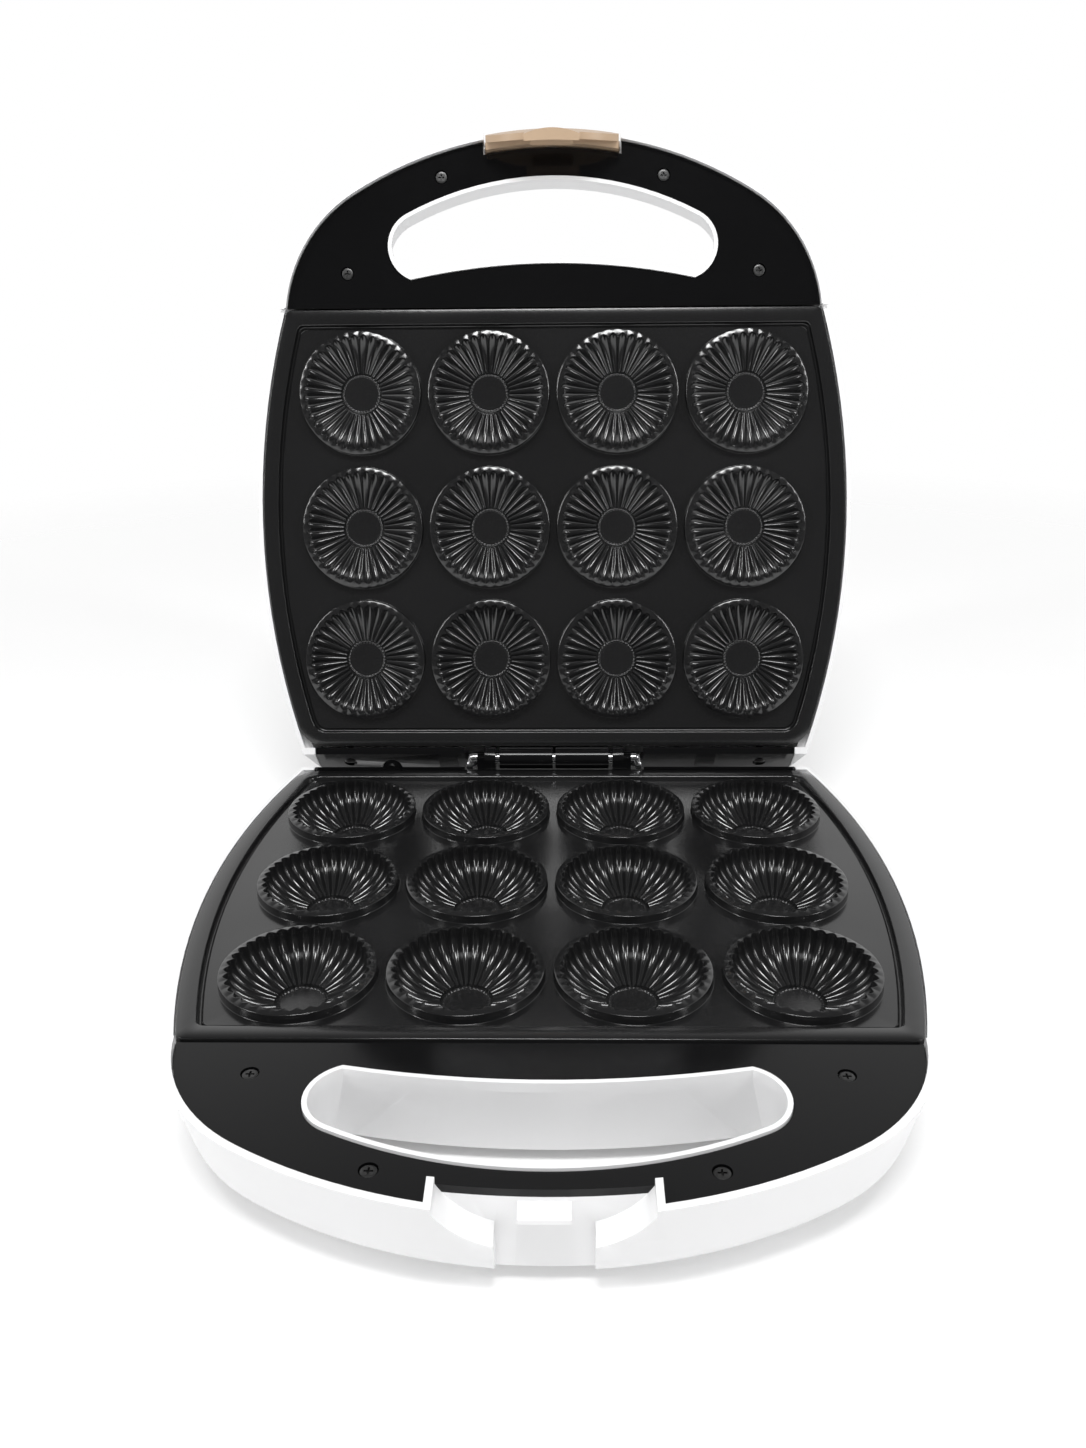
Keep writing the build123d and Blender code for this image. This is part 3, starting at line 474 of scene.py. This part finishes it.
def worked_metal(name, colour, roughness, streak_axis):
    """Metal with fine streaks along one axis."""
    finish = new_finish(name)
    stretch = [STREAKS_ALONG if axis == streak_axis else STREAKS_ACROSS for axis in "XYZ"]
    place = finish.node("ShaderNodeMapping", {}, {"Vector": finish.place(), "Scale": stretch})
    streak = finish.noise(1.0, detail=3.0, roughness=0.6, place=place)
    cloud = finish.noise(40.0)
    return finish.surface(
        Base_Color=finish.between(cloud, shade(colour, 0.9), shade(colour, 1.08)),
        Metallic=1.0,
        Roughness=finish.varied(streak, roughness - 0.06, roughness + 0.08),
        Normal=finish.bump(streak, distance=0.00003, strength=0.3))


def tinted_lens(name, colour):
    """Tinted plastic that lets some light through."""
    finish = new_finish(name)
    cloud = finish.noise(400.0)
    return finish.surface(
        Base_Color=finish.between(cloud, shade(colour, 0.8), shade(colour, 1.2)),
        Roughness=finish.varied(cloud, low=0.08, high=0.14),
        Transmission_Weight=0.35,
        IOR=1.49)


FINISHES = {}


def make_finishes(colours):
    """All materials, by the record's slot names."""
    FINISHES["white_plastic"] = moulded(
        "white_plastic", colours.housing, patches=9.0, tint=(0.985, 1.01), gloss=(0.30, 0.36),
        specular=0.45, grain_strength=0.25)
    FINISHES["black_plastic"] = glossy_black(colours.panel)
    FINISHES["coated_casting"] = nonstick_coating(colours.coating)
    FINISHES["beige_plastic"] = moulded(
        "beige_plastic", colours.latch, patches=60.0, tint=(0.96, 1.03), gloss=(0.36, 0.44),
        specular=0.5, grain_strength=0.3)
    for name, colour, roughness, streak_axis in METALS:
        FINISHES[name] = worked_metal(name, colour, roughness, streak_axis)
    for name, colour, roughness in MATT_BODIES:
        FINISHES[name] = matt_body(name, colour, roughness)
    for name, colour in LENSES:
        FINISHES[name] = tinted_lens(name, colour)


def dress(node, slot):
    """Gives a carried-over piece its finish."""
    mesh = frame["nodes"][node].data
    mesh.materials.clear()
    mesh.materials.append(FINISHES[slot])


# Mesh helpers

def new_piece(name, bm, body, node, slot, crisp):
    """Makes a piece on a body, in a plain one's place, smooth except at edges over an angle."""
    mesh = bpy.data.meshes.new(name)
    bm.to_mesh(mesh)
    bm.free()
    mesh.materials.append(FINISHES[slot])
    piece = bpy.data.objects.new(name, mesh)
    bpy.context.scene.collection.objects.link(piece)
    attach(piece, body)
    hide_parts(node)
    mesh.shade_smooth()
    mesh.set_sharp_from_angle(angle=math.radians(crisp))
    return piece


def drawn_piece(name, bm, body, node, slot, crisp=TURNED_ANGLE):
    """Carries a mesh drawn as the closed lid lies to its place on a body, and makes its piece."""
    bmesh.ops.transform(bm, matrix=PLACES[body], verts=bm.verts)
    if PLACES[body].determinant() < 0:
        bmesh.ops.reverse_faces(bm, faces=bm.faces)
    new_piece(name, bm, body, node, slot, crisp)


def softened_copy(node, name, slot, width_mm):
    """Welded copy of a plain piece, its edges rounded as far as its shortest edges allow."""
    source = frame["nodes"][node]
    bm = bmesh.new()
    bm.from_mesh(source.data)
    bmesh.ops.remove_doubles(bm, verts=bm.verts, dist=WELD_REACH)
    bmesh.ops.dissolve_limit(
        bm, angle_limit=math.radians(FLAT_ANGLE), use_dissolve_boundaries=False,
        verts=bm.verts, edges=bm.edges, delimit=set())
    piece = new_piece(name, bm, source["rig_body"], node, slot, SOFT_ANGLE)
    bevel = piece.modifiers.new("Rounded edges", "BEVEL")
    bevel.width = width_mm * MM
    bevel.segments = SOFT_SEGMENTS
    bevel.limit_method = "ANGLE"
    bevel.angle_limit = math.radians(SOFT_ANGLE)
    bevel.harden_normals = True
    bevel.use_clamp_overlap = True


def swept_to(bm, vertex, centre, degrees):
    """Arc of edges from a vertex about a centre; returns the last vertex."""
    made = bmesh.ops.spin(
        bm, geom=[vertex], cent=(*centre, vertex.co.z), axis=(0, 0, 1), dvec=(0, 0, 0),
        angle=math.radians(degrees), steps=SIDE_STEPS, use_merge=False, use_normal_flip=False,
        use_duplicate=False)
    return next(part for part in made["geom_last"] if isinstance(part, bmesh.types.BMVert))


def plate_ring(bm, inset, level):
    """Closed outline of a plate, moved in: straight ends, bowed sides, round corners."""
    radius = SIDE_RADIUS - inset
    centre_x, centre_y = SIDE_CENTRE
    front, rear = PLATE_FRONT + inset, PLATE_REAR - inset

    def angle_at(y):
        return math.degrees(math.asin((y - centre_y) / radius))

    turn = angle_at(rear) - angle_at(front)
    side = centre_x + radius * math.cos(math.radians(angle_at(front)))
    before = set(bm.edges)
    right_front = bm.verts.new((side, front, level))
    right_rear = swept_to(bm, right_front, (centre_x, centre_y), turn)
    left_rear = bm.verts.new((-right_rear.co.x, rear, level))
    left_front = swept_to(bm, left_rear, (-centre_x, centre_y), turn)
    bm.edges.new((right_rear, left_rear))
    bm.edges.new((left_front, right_front))
    outline = [edge for edge in bm.edges if edge not in before]
    bmesh.ops.contextual_create(bm, geom=outline)
    for corners, corner_radius in (
            ([right_rear, left_rear], REAR_CORNER - REAR_CORNER_LOSS * inset),
            ([right_front, left_front], FRONT_CORNER)):
        bmesh.ops.bevel(
            bm, geom=corners, offset=corner_radius, offset_type="OFFSET", segments=CORNER_STEPS,
            profile=0.5, affect="VERTICES", material=-1, clamp_overlap=True)
    made = [edge for edge in bm.edges if edge not in before]
    faces = {face for edge in made for face in edge.link_faces}
    bmesh.ops.delete(bm, geom=list(faces), context="FACES_ONLY")
    return [edge for edge in made if edge.is_valid]


def ring_of(bm, radius, level, count):
    """Circle of edges; returns its vertices in order."""
    made = bmesh.ops.create_circle(bm, cap_ends=False, radius=radius, segments=count)
    bmesh.ops.translate(bm, verts=made["verts"], vec=(0, 0, level))
    return in_order(made["verts"])


def in_order(verts):
    """Vertices sorted round the Z axis, from a cut that no vertex lies on."""
    return sorted(verts, key=lambda v: (math.atan2(v.co.y, v.co.x) + RING_CUT) % math.tau)


def edges_of(bm, ring):
    """Edges of a closed ring of vertices."""
    return [bm.edges.get((ring[k - 1], ring[k])) for k in range(len(ring))]


def extruded(bm, edges):
    """Extrudes edges; returns the new vertices and the new edges along them."""
    made = bmesh.ops.extrude_edge_only(bm, edges=edges)["geom"]
    return (
        [part for part in made if isinstance(part, bmesh.types.BMVert)],
        [part for part in made if isinstance(part, bmesh.types.BMEdge)])


def next_ring(bm, ring):
    """Extrudes a closed ring of vertices; returns the new ring in the same order."""
    verts, _ = extruded(bm, edges_of(bm, ring))
    return in_order(verts)


def cup_profile(tip, depth, power, steps):
    """Groove line of a cup from its rim to its floor ring, with the direction out of the metal."""
    end = math.acos((CUP_FLOOR_RADIUS / tip) ** (power / 2))
    points = []
    for step in range(steps + 1):
        slope = end * (step / steps) ** WALL_CROWDING
        points.append(Vector((
            tip * math.cos(slope) ** (2 / power),
            RIM_LEVEL + (depth - RIM_LEVEL) * math.sin(slope) ** (2 / power))))
    out = []
    for step, point in enumerate(points):
        along = points[min(step + 1, steps)] - points[max(step - 1, 0)]
        out.append((point, Vector((-along.y, along.x)).normalized()))
    return out


def cup_mesh(sizes, depth, power, detail):
    """One cup, from the foot of its raised rim to its floor, round the origin."""
    rim, tip = sizes.rim_radius / MM, sizes.cup_radius / MM
    flute_depth = sizes.flute_depth / MM
    parts = FLUTE_PARTS if detail else FLUTE_PARTS[::2]
    bm = bmesh.new()

    def lay(ring, radii, levels):
        for index, vertex in enumerate(ring):
            flute, part = divmod(index, len(parts))
            angle = math.tau * (flute + parts[part]) / sizes.flutes
            radius = radii[part] if isinstance(radii, list) else radii
            level = levels[part] if isinstance(levels, list) else levels
            vertex.co = (radius * math.cos(angle), radius * math.sin(angle), level)
        return ring

    foot = rim + RIM_FOOT
    ring = lay(ring_of(bm, foot, FIELD_LEVEL, sizes.flutes * len(parts)), foot, FIELD_LEVEL)
    for outward, level in RIM_OUTSIDE:
        ring = lay(next_ring(bm, ring), rim + outward, level)
    teeth = [abs(2 * part - 1) ** TOOTH_SHARPNESS for part in parts]
    for outward, level in RIM_SCALLOPS:
        radii = [tip + outward - flute_depth * tooth for tooth in teeth]
        ring = lay(next_ring(bm, ring), radii, level)

    steps = WALL_STEPS if detail else WALL_STEPS - 1
    for step, (point, out) in enumerate(cup_profile(tip, depth, power, steps)):
        share = step / steps
        height = flute_depth * (1.0 - RIDGE_LOSS * share ** RIDGE_LOSS_POWER)
        sharpness = TOOTH_SHARPNESS + RIDGE_SHARPENING * min(1.0, SHARPENING_PACE * share)
        ridges = [abs(2 * part - 1) ** sharpness * height for part in parts]
        least = RIM_LEVEL + LEAST_SINK + LEAST_SINK_GAIN * share
        ring = lay(
            next_ring(bm, ring),
            [point.x + out.x * ridge for ridge in ridges],
            [max(point.y + out.y * ridge, least) for ridge in ridges])
    for radius, sink in FLOOR_STEPS:
        ring = lay(next_ring(bm, ring), radius, depth + sink)
    floor = depth + FLOOR_SINK
    waves = [0.5 - 0.5 * math.cos(math.tau * part) for part in parts]
    beads = [BEAD_LEAST + (1.0 - BEAD_LEAST) * wave for wave in waves]
    for radius, height in BEAD_RINGS:
        ring = lay(next_ring(bm, ring), radius, [floor - height * bead for bead in beads])
    ring = lay(next_ring(bm, ring), FLOOR_DISC, floor)
    bmesh.ops.contextual_create(bm, geom=edges_of(bm, ring))
    return bm


def cup_centres(sizes):
    """Centres of the cups, in millimetres."""
    pitch_x, pitch_y = sizes.pitch_x / MM, sizes.pitch_y / MM
    columns = [(column - (CUP_COLUMNS - 1) / 2) * pitch_x for column in range(CUP_COLUMNS)]
    rows = [(row - (CUP_ROWS - 1) / 2) * pitch_y for row in range(CUP_ROWS)]
    return [Vector((x, y, 0)) for y in rows for x in columns]


def open_edges_at(bm, level):
    """Open edges that lie at a level."""
    return [
        edge for edge in bm.edges
        if len(edge.link_faces) < 2
        and all(abs(vertex.co.z - level) < OPEN_EDGE_REACH for vertex in edge.verts)
    ]


def add_copies(bm, one, places, turn=None):
    """Adds copies of one part at several places, turned alike, and frees the part."""
    mesh = bpy.data.meshes.new("part")
    one.to_mesh(mesh)
    one.free()
    if turn is not None:
        mesh.transform(turn)
    last = Vector((0, 0, 0))
    for place in places:
        place = Vector(place)
        mesh.transform(Matrix.Translation(place - last))
        bm.from_mesh(mesh)
        last = place
    bpy.data.meshes.remove(mesh)


def plate_mesh(sizes, depth, power, detail):
    """Baking plate: flange, drip groove, field, fluted cups, outer wall, and back with bowls."""
    bm = bmesh.new()
    rings = [plate_ring(bm, inset, level) for inset, level in PLATE_RINGS]
    for ring, inner in zip(rings, rings[1:]):
        bmesh.ops.bridge_loops(bm, edges=ring + inner)
    centres = cup_centres(sizes)
    add_copies(bm, cup_mesh(sizes, depth, power, detail), centres)
    bmesh.ops.triangle_fill(bm, use_beauty=True, edges=open_edges_at(bm, FIELD_LEVEL))

    mouths = []
    for centre in centres:
        mouth = ring_of(bm, BOWL_MOUTH, PLATE_BACK, BOWL_SIDES)
        bmesh.ops.translate(bm, verts=mouth, vec=centre)
        mouths.append(mouth)
    bmesh.ops.triangle_fill(bm, use_beauty=True, edges=open_edges_at(bm, PLATE_BACK))
    bowl = max(depth + BOWL_WALL, PLATE_BACK + BOWL_LEAST)
    for centre, mouth in zip(centres, mouths):
        edges = edges_of(bm, mouth)
        for radius, share in BOWL_RINGS:
            verts, edges = extruded(bm, edges)
            level = PLATE_BACK + share * (bowl - PLATE_BACK)
            for vertex in verts:
                flat = (vertex.co - centre).xy.normalized() * radius
                vertex.co = (centre.x + flat.x, centre.y + flat.y, level)
        bmesh.ops.contextual_create(bm, geom=edges)
    bmesh.ops.recalc_face_normals(bm, faces=bm.faces)
    return bm


def turned_to(bm, edges, profile):
    """Extrudes a round boundary through rings of a radius and level; returns the last edges."""
    for radius, level in profile:
        verts, edges = extruded(bm, edges)
        for vertex in verts:
            flat = vertex.co.xy.normalized() * radius
            vertex.co = (flat.x, flat.y, level)
    return edges


def cut_cross(bm):
    """Cuts a flat round cap along the sides of a cross."""
    for normal in (Vector((1, 0, 0)), Vector((0, 1, 0))):
        for offset in (-SLOT_REACH, -SLOT_HALF, SLOT_HALF, SLOT_REACH):
            bmesh.ops.bisect_plane(
                bm, geom=[*bm.verts, *bm.edges, *bm.faces],
                plane_co=normal * offset, plane_no=normal)


def sink_cross(bm, level, recess):
    """Sinks the cross that was cut in a cap into the head."""
    cross = []
    for face in bm.faces:
        centre = face.calc_center_median()
        near, far = sorted((abs(centre.x), abs(centre.y)))
        if abs(centre.z - level) < CAP_REACH and near < SLOT_HALF and far < SLOT_REACH:
            cross.append(face)
    made = bmesh.ops.extrude_face_region(bm, geom=cross)
    sunk = [part for part in made["geom"] if isinstance(part, bmesh.types.BMVert)]
    bmesh.ops.translate(bm, verts=sunk, vec=(0, 0, recess))
    bmesh.ops.delete(bm, geom=[face for face in cross if face.is_valid], context="FACES")


def turned_solid(profile, recess=0.0):
    """Closed turned part round the Z axis, with any cross recess in its first cap."""
    radius, level = profile[0]
    bm = bmesh.new()
    bmesh.ops.create_circle(bm, cap_ends=True, radius=radius, segments=TURNED_SIDES)
    bmesh.ops.translate(bm, verts=bm.verts, vec=(0, 0, level))
    if recess:
        cut_cross(bm)
    rim = [edge for edge in bm.edges if edge.is_boundary]
    bmesh.ops.contextual_create(bm, geom=turned_to(bm, rim, profile[1:]))
    if recess:
        sink_cross(bm, level, recess)
    bmesh.ops.recalc_face_normals(bm, faces=bm.faces)
    return bm


def screw_set(profile, recess, places, turn=None):
    """Like screws at several places, turned alike, in one mesh."""
    bm = bmesh.new()
    add_copies(bm, turned_solid(profile, recess), places, turn)
    bmesh.ops.recalc_face_normals(bm, faces=bm.faces)
    return bm


# Operators

class MAAMOUL_OT_finishes(bpy.types.Operator):
    """Makes the finishes and gives the inner pieces theirs"""

    bl_idname = "maamoul.finishes"
    bl_label = "Finishes"

    def execute(self, context):
        make_finishes(context.scene.maamoul_colours)
        for part in frame["record"]["subparts"]:
            dress(part["node"], part["material_slot"])
        return {"FINISHED"}


class MAAMOUL_OT_plates(bpy.types.Operator):
    """Builds both baking plates with their fluted cups"""

    bl_idname = "maamoul.plates"
    bl_label = "Baking plates"

    def execute(self, context):
        sizes = context.scene.maamoul_plate
        for half, depth in (("base", sizes.base_depth / MM), ("lid", sizes.lid_depth / MM)):
            bm = plate_mesh(sizes, depth, WALL_ROUNDNESS[half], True)
            drawn_piece(
                f"{half}_cup_plate", bm, half, f"{half}_plate", "coated_casting", PLATE_ANGLE)
        return {"FINISHED"}


class MAAMOUL_OT_housings(bpy.types.Operator):
    """Builds the white housings"""

    bl_idname = "maamoul.housings"
    bl_label = "Housings"

    def execute(self, context):
        for half in ("base", "lid"):
            softened_copy(f"{half}_shell", f"{half}_housing", "white_plastic", width_mm=0.25)
        return {"FINISHED"}


class MAAMOUL_OT_frames(bpy.types.Operator):
    """Builds the black rear frames; the flat handle panels keep their plain shape"""

    bl_idname = "maamoul.frames"
    bl_label = "Rear frames"

    def execute(self, context):
        for half in ("base", "lid"):
            softened_copy(
                f"{half}_rear_frame", f"{half}_hinge_frame", "black_plastic", width_mm=0.3)
        return {"FINISHED"}


class MAAMOUL_OT_screws(bpy.types.Operator):
    """Builds the screws of panels, rear frames, plates and shields"""

    bl_idname = "maamoul.screws"
    bl_label = "Screws"

    def execute(self, context):
        facing_back = Matrix.Rotation(math.radians(90), 4, "X")
        facing_out = Matrix.Scale(-1, 4, (0, 0, 1))
        for half in ("base", "lid"):
            heads = screw_set(PANEL_SCREW, PANEL_RECESS, PANEL_SCREW_PLACES)
            drawn_piece(f"{half}_grip_screws", heads, half, f"{half}_panel_screws", "black_steel")
            heads = screw_set(FRAME_SCREW, DEEP_RECESS, FRAME_SCREW_PLACES, facing_back)
            drawn_piece(f"{half}_rear_screws", heads, half, f"{half}_frame_screws", "black_steel")
        for half, node, seat in POST_SCREWS:
            profile = [(radius, -seat - height) for radius, height in POST_SCREW_HEAD]
            profile.append(POST_SCREW_TIP)
            heads = screw_set(profile, DEEP_RECESS, POST_SCREW_PLACES, facing_out)
            drawn_piece(f"{half}_post_screws", heads, half, node, "bright_steel")
        return {"FINISHED"}


class MAAMOUL_OT_latch(bpy.types.Operator):
    """Builds the beige latch"""

    bl_idname = "maamoul.latch"
    bl_label = "Latch"

    def execute(self, context):
        softened_copy("latch", "latch_lever", "beige_plastic", width_mm=0.35)
        return {"FINISHED"}


class MAAMOUL_OT_inner_parts(bpy.types.Operator):
    """Builds the hinge pin, latch pegs, heat shields, electrical parts and cord gland"""

    bl_idname = "maamoul.inner_parts"
    bl_label = "Inner parts"

    def execute(self, context):
        for node, name, slot, width in (
                ("hinge_pin", "hinge_rod", "bright_steel", 0.25),
                ("latch_pegs", "latch_pivots", "bright_steel", 0.15),
                ("base_heat_shield", "base_shield", "shield_sheet", 0.15),
                ("lid_heat_shield", "lid_shield", "shield_sheet", 0.15),
                ("thermostat", "thermostat_body", "ceramic_body", 0.3),
                ("terminal_block", "terminal_strip", "natural_plastic", 0.3),
                ("lid_limiter", "limiter_body", "ceramic_body", 0.3),
                ("lamp_holder", "lamp_bracket", "natural_plastic", 0.25),
                ("cord_gland", "cord_bush", "black_bush", 0.4)):
            softened_copy(node, name, slot, width_mm=width)
        return {"FINISHED"}


class MAAMOUL_OT_feet(bpy.types.Operator):
    """Builds the four rubber feet"""

    bl_idname = "maamoul.feet"
    bl_label = "Rubber feet"

    def execute(self, context):
        for row, y in FOOT_ROWS:
            for side, x in FOOT_SIDES:
                foot = turned_solid(FOOT)
                bmesh.ops.translate(foot, verts=foot.verts, vec=(x, y, 0))
                drawn_piece(
                    f"rubber_foot_{row}_{side}", foot, "base", f"foot_{row}_{side}", "foot_rubber")
        return {"FINISHED"}


class MAAMOUL_OT_lenses(bpy.types.Operator):
    """Builds the two indicator lenses on the lid"""

    bl_idname = "maamoul.lenses"
    bl_label = "Indicator lenses"

    def execute(self, context):
        for node, slot in (("power_lens", "red_lens"), ("ready_lens", "green_lens")):
            softened_copy(node, f"{node}_cap", slot, width_mm=0.2)
        return {"FINISHED"}


class MAAMOUL_OT_stage(bpy.types.Operator):
    """Builds the floor, the lamps and the camera"""

    bl_idname = "maamoul.stage"
    bl_label = "Stage"

    def execute(self, context):
        colour = context.scene.maamoul_colours.backdrop
        make_floor(colour)
        make_world(colour)
        make_lamps()
        make_camera()
        context.scene.view_settings.view_transform = "Standard"
        return {"FINISHED"}


def seen_rays(finish):
    """Signals of the rays that show the background: direct, mirrored, through something clear."""
    camera = finish.node("ShaderNodeLightPath", output="Is Camera Ray")
    mirrored = finish.node("ShaderNodeLightPath", output="Is Glossy Ray")
    through = finish.node("ShaderNodeLightPath", output="Is Transmission Ray")
    return camera, mirrored, through


def make_floor(colour):
    """Seamless pale floor that keeps the object's soft shadow and fades into the background."""
    bm = bmesh.new()
    bmesh.ops.create_circle(bm, cap_ends=True, radius=FLOOR_RADIUS, segments=FLOOR_SIDES)
    mesh = bpy.data.meshes.new("floor")
    bm.to_mesh(mesh)
    bm.free()
    finish = new_finish("floor_paper")
    place = finish.place()
    distance = finish.node(
        "ShaderNodeVectorMath", {"operation": "LENGTH"}, {0: place}, output="Value")
    grain = finish.noise(PAPER_GRAIN)
    paper = finish.node("ShaderNodeBsdfDiffuse", {}, {
        "Color": finish.between(grain, *(shade(colour, tone) for tone in PAPER_TONES))})
    shadow = finish.node("ShaderNodeBsdfDiffuse", {}, {"Color": shade(colour, FLOOR_SHADOW)})
    glow = finish.node("ShaderNodeEmission", {}, {
        "Color": rgba(colour), "Strength": 1.0 - FLOOR_SHADOW - FLOOR_DIMMING})
    white = finish.node("ShaderNodeAddShader", {}, {0: shadow, 1: glow})
    camera, mirrored, through = seen_rays(finish)
    background_rays = camera + mirrored + through
    seen = finish.node("ShaderNodeMixShader", {}, {0: background_rays, 1: paper, 2: white})
    clear = finish.node("ShaderNodeBsdfTransparent")
    faded = finish.spread(distance, *FLOOR_FADE) * (camera + through)
    mixed = finish.node("ShaderNodeMixShader", {}, {0: faded, 1: seen, 2: clear})
    finish.node("ShaderNodeOutputMaterial", {}, {"Surface": mixed})
    mesh.materials.append(finish.owner)
    floor = bpy.data.objects.new("floor", mesh)
    bpy.context.scene.collection.objects.link(floor)


def make_world(colour):
    """White for direct rays, plain soft light, and a room to mirror, dim in front and above."""
    world = bpy.data.worlds.new("studio")
    bpy.context.scene.world = world
    finish = Finish(world)
    camera, mirrored, through = seen_rays(finish)
    direction = finish.node("ShaderNodeTexCoord", output="Generated")
    depth = finish.node("ShaderNodeSeparateXYZ", {}, {"Vector": direction}, output="Y")
    height = finish.node("ShaderNodeSeparateXYZ", {}, {"Vector": direction}, output="Z")
    from_front = finish.spread(depth, *ROOM_DEPTHS, ROOM_FRONT, 1.0)
    from_above = finish.spread(height, *ROOM_HEIGHTS, 1.0, ROOM_TOP)
    room = from_front * from_above
    strength = SOFT_LIGHT + (camera + through) * (1.0 - SOFT_LIGHT) + mirrored * (room - SOFT_LIGHT)
    back = finish.node("ShaderNodeBackground", {}, {"Color": rgba(colour), "Strength": strength})
    finish.node("ShaderNodeOutputWorld", {}, {"Surface": back})


def make_lamps():
    """Soft lamps over and beside the object."""
    for name, place, width, length, energy in LAMPS:
        lamp = bpy.data.lights.new(name, "AREA")
        lamp.shape = "RECTANGLE"
        lamp.size = width
        lamp.size_y = length
        lamp.energy = energy
        holder = bpy.data.objects.new(name, lamp)
        holder.location = place
        direction = Vector(LAMP_AIM) - Vector(place)
        holder.rotation_euler = direction.to_track_quat("-Z", "Y").to_euler()
        bpy.context.scene.collection.objects.link(holder)


def make_camera():
    """Camera at the photograph's viewing angle."""
    yaw, pitch, roll = (math.radians(turn) for turn in (CAMERA_YAW, CAMERA_PITCH, CAMERA_ROLL))
    forward = Vector((
        -math.sin(yaw) * math.cos(pitch), math.cos(yaw) * math.cos(pitch), -math.sin(pitch)))
    right = Vector((math.cos(yaw), math.sin(yaw), 0.0))
    up = right.cross(forward)
    image_x = right * math.cos(roll) + up * math.sin(roll)
    image_y = up * math.cos(roll) - right * math.sin(roll)
    camera = bpy.data.cameras.new("camera")
    camera.sensor_width = SENSOR_WIDTH
    camera.lens = SENSOR_WIDTH * FOCAL_PIXELS / PHOTO_HEIGHT
    camera.clip_start = 0.01
    holder = bpy.data.objects.new("camera", camera)
    turn = Matrix((image_x, image_y, -forward)).transposed().to_4x4()
    place = TO_FRAME @ Matrix.Translation(CAMERA_PLACE)
    holder.matrix_world = Matrix.Translation(place.translation) @ turn
    bpy.context.scene.collection.objects.link(holder)
    bpy.context.scene.camera = holder


class MAAMOUL_PT_panel(bpy.types.Panel):
    """Lists the pieces of the maamoul maker"""

    bl_idname = "MAAMOUL_PT_panel"
    bl_label = "Maamoul maker"
    bl_space_type = "VIEW_3D"
    bl_region_type = "UI"
    bl_category = "Maamoul maker"

    def draw(self, context):
        layout = self.layout
        for group in (context.scene.maamoul_plate, context.scene.maamoul_colours):
            box = layout.box()
            for name in group.bl_rna.properties.keys():
                if name not in ("rna_type", "name"):
                    box.prop(group, name)
        for piece in PIECES:
            layout.operator(piece.bl_idname)


GROUPS = (MaamoulPlateSettings, MaamoulColourSettings)
PIECES = (
    MAAMOUL_OT_finishes,
    MAAMOUL_OT_plates,
    MAAMOUL_OT_housings,
    MAAMOUL_OT_frames,
    MAAMOUL_OT_screws,
    MAAMOUL_OT_latch,
    MAAMOUL_OT_inner_parts,
    MAAMOUL_OT_feet,
    MAAMOUL_OT_lenses,
    MAAMOUL_OT_stage,
)


def register():
    """Registers the settings, the operators and the panel."""
    for item in (*GROUPS, *PIECES, MAAMOUL_PT_panel):
        bpy.utils.register_class(item)
    bpy.types.Scene.maamoul_plate = bpy.props.PointerProperty(type=MaamoulPlateSettings)
    bpy.types.Scene.maamoul_colours = bpy.props.PointerProperty(type=MaamoulColourSettings)


def unregister():
    """Removes what register added."""
    del bpy.types.Scene.maamoul_colours
    del bpy.types.Scene.maamoul_plate
    for item in reversed((*GROUPS, *PIECES, MAAMOUL_PT_panel)):
        bpy.utils.unregister_class(item)


def main():
    """Builds every piece in order."""
    register()
    bpy.ops.maamoul.finishes()
    bpy.ops.maamoul.plates()
    bpy.ops.maamoul.housings()
    bpy.ops.maamoul.frames()
    bpy.ops.maamoul.screws()
    bpy.ops.maamoul.latch()
    bpy.ops.maamoul.inner_parts()
    bpy.ops.maamoul.feet()
    bpy.ops.maamoul.lenses()
    bpy.ops.maamoul.stage()


if __name__ == "__main__":
    main()
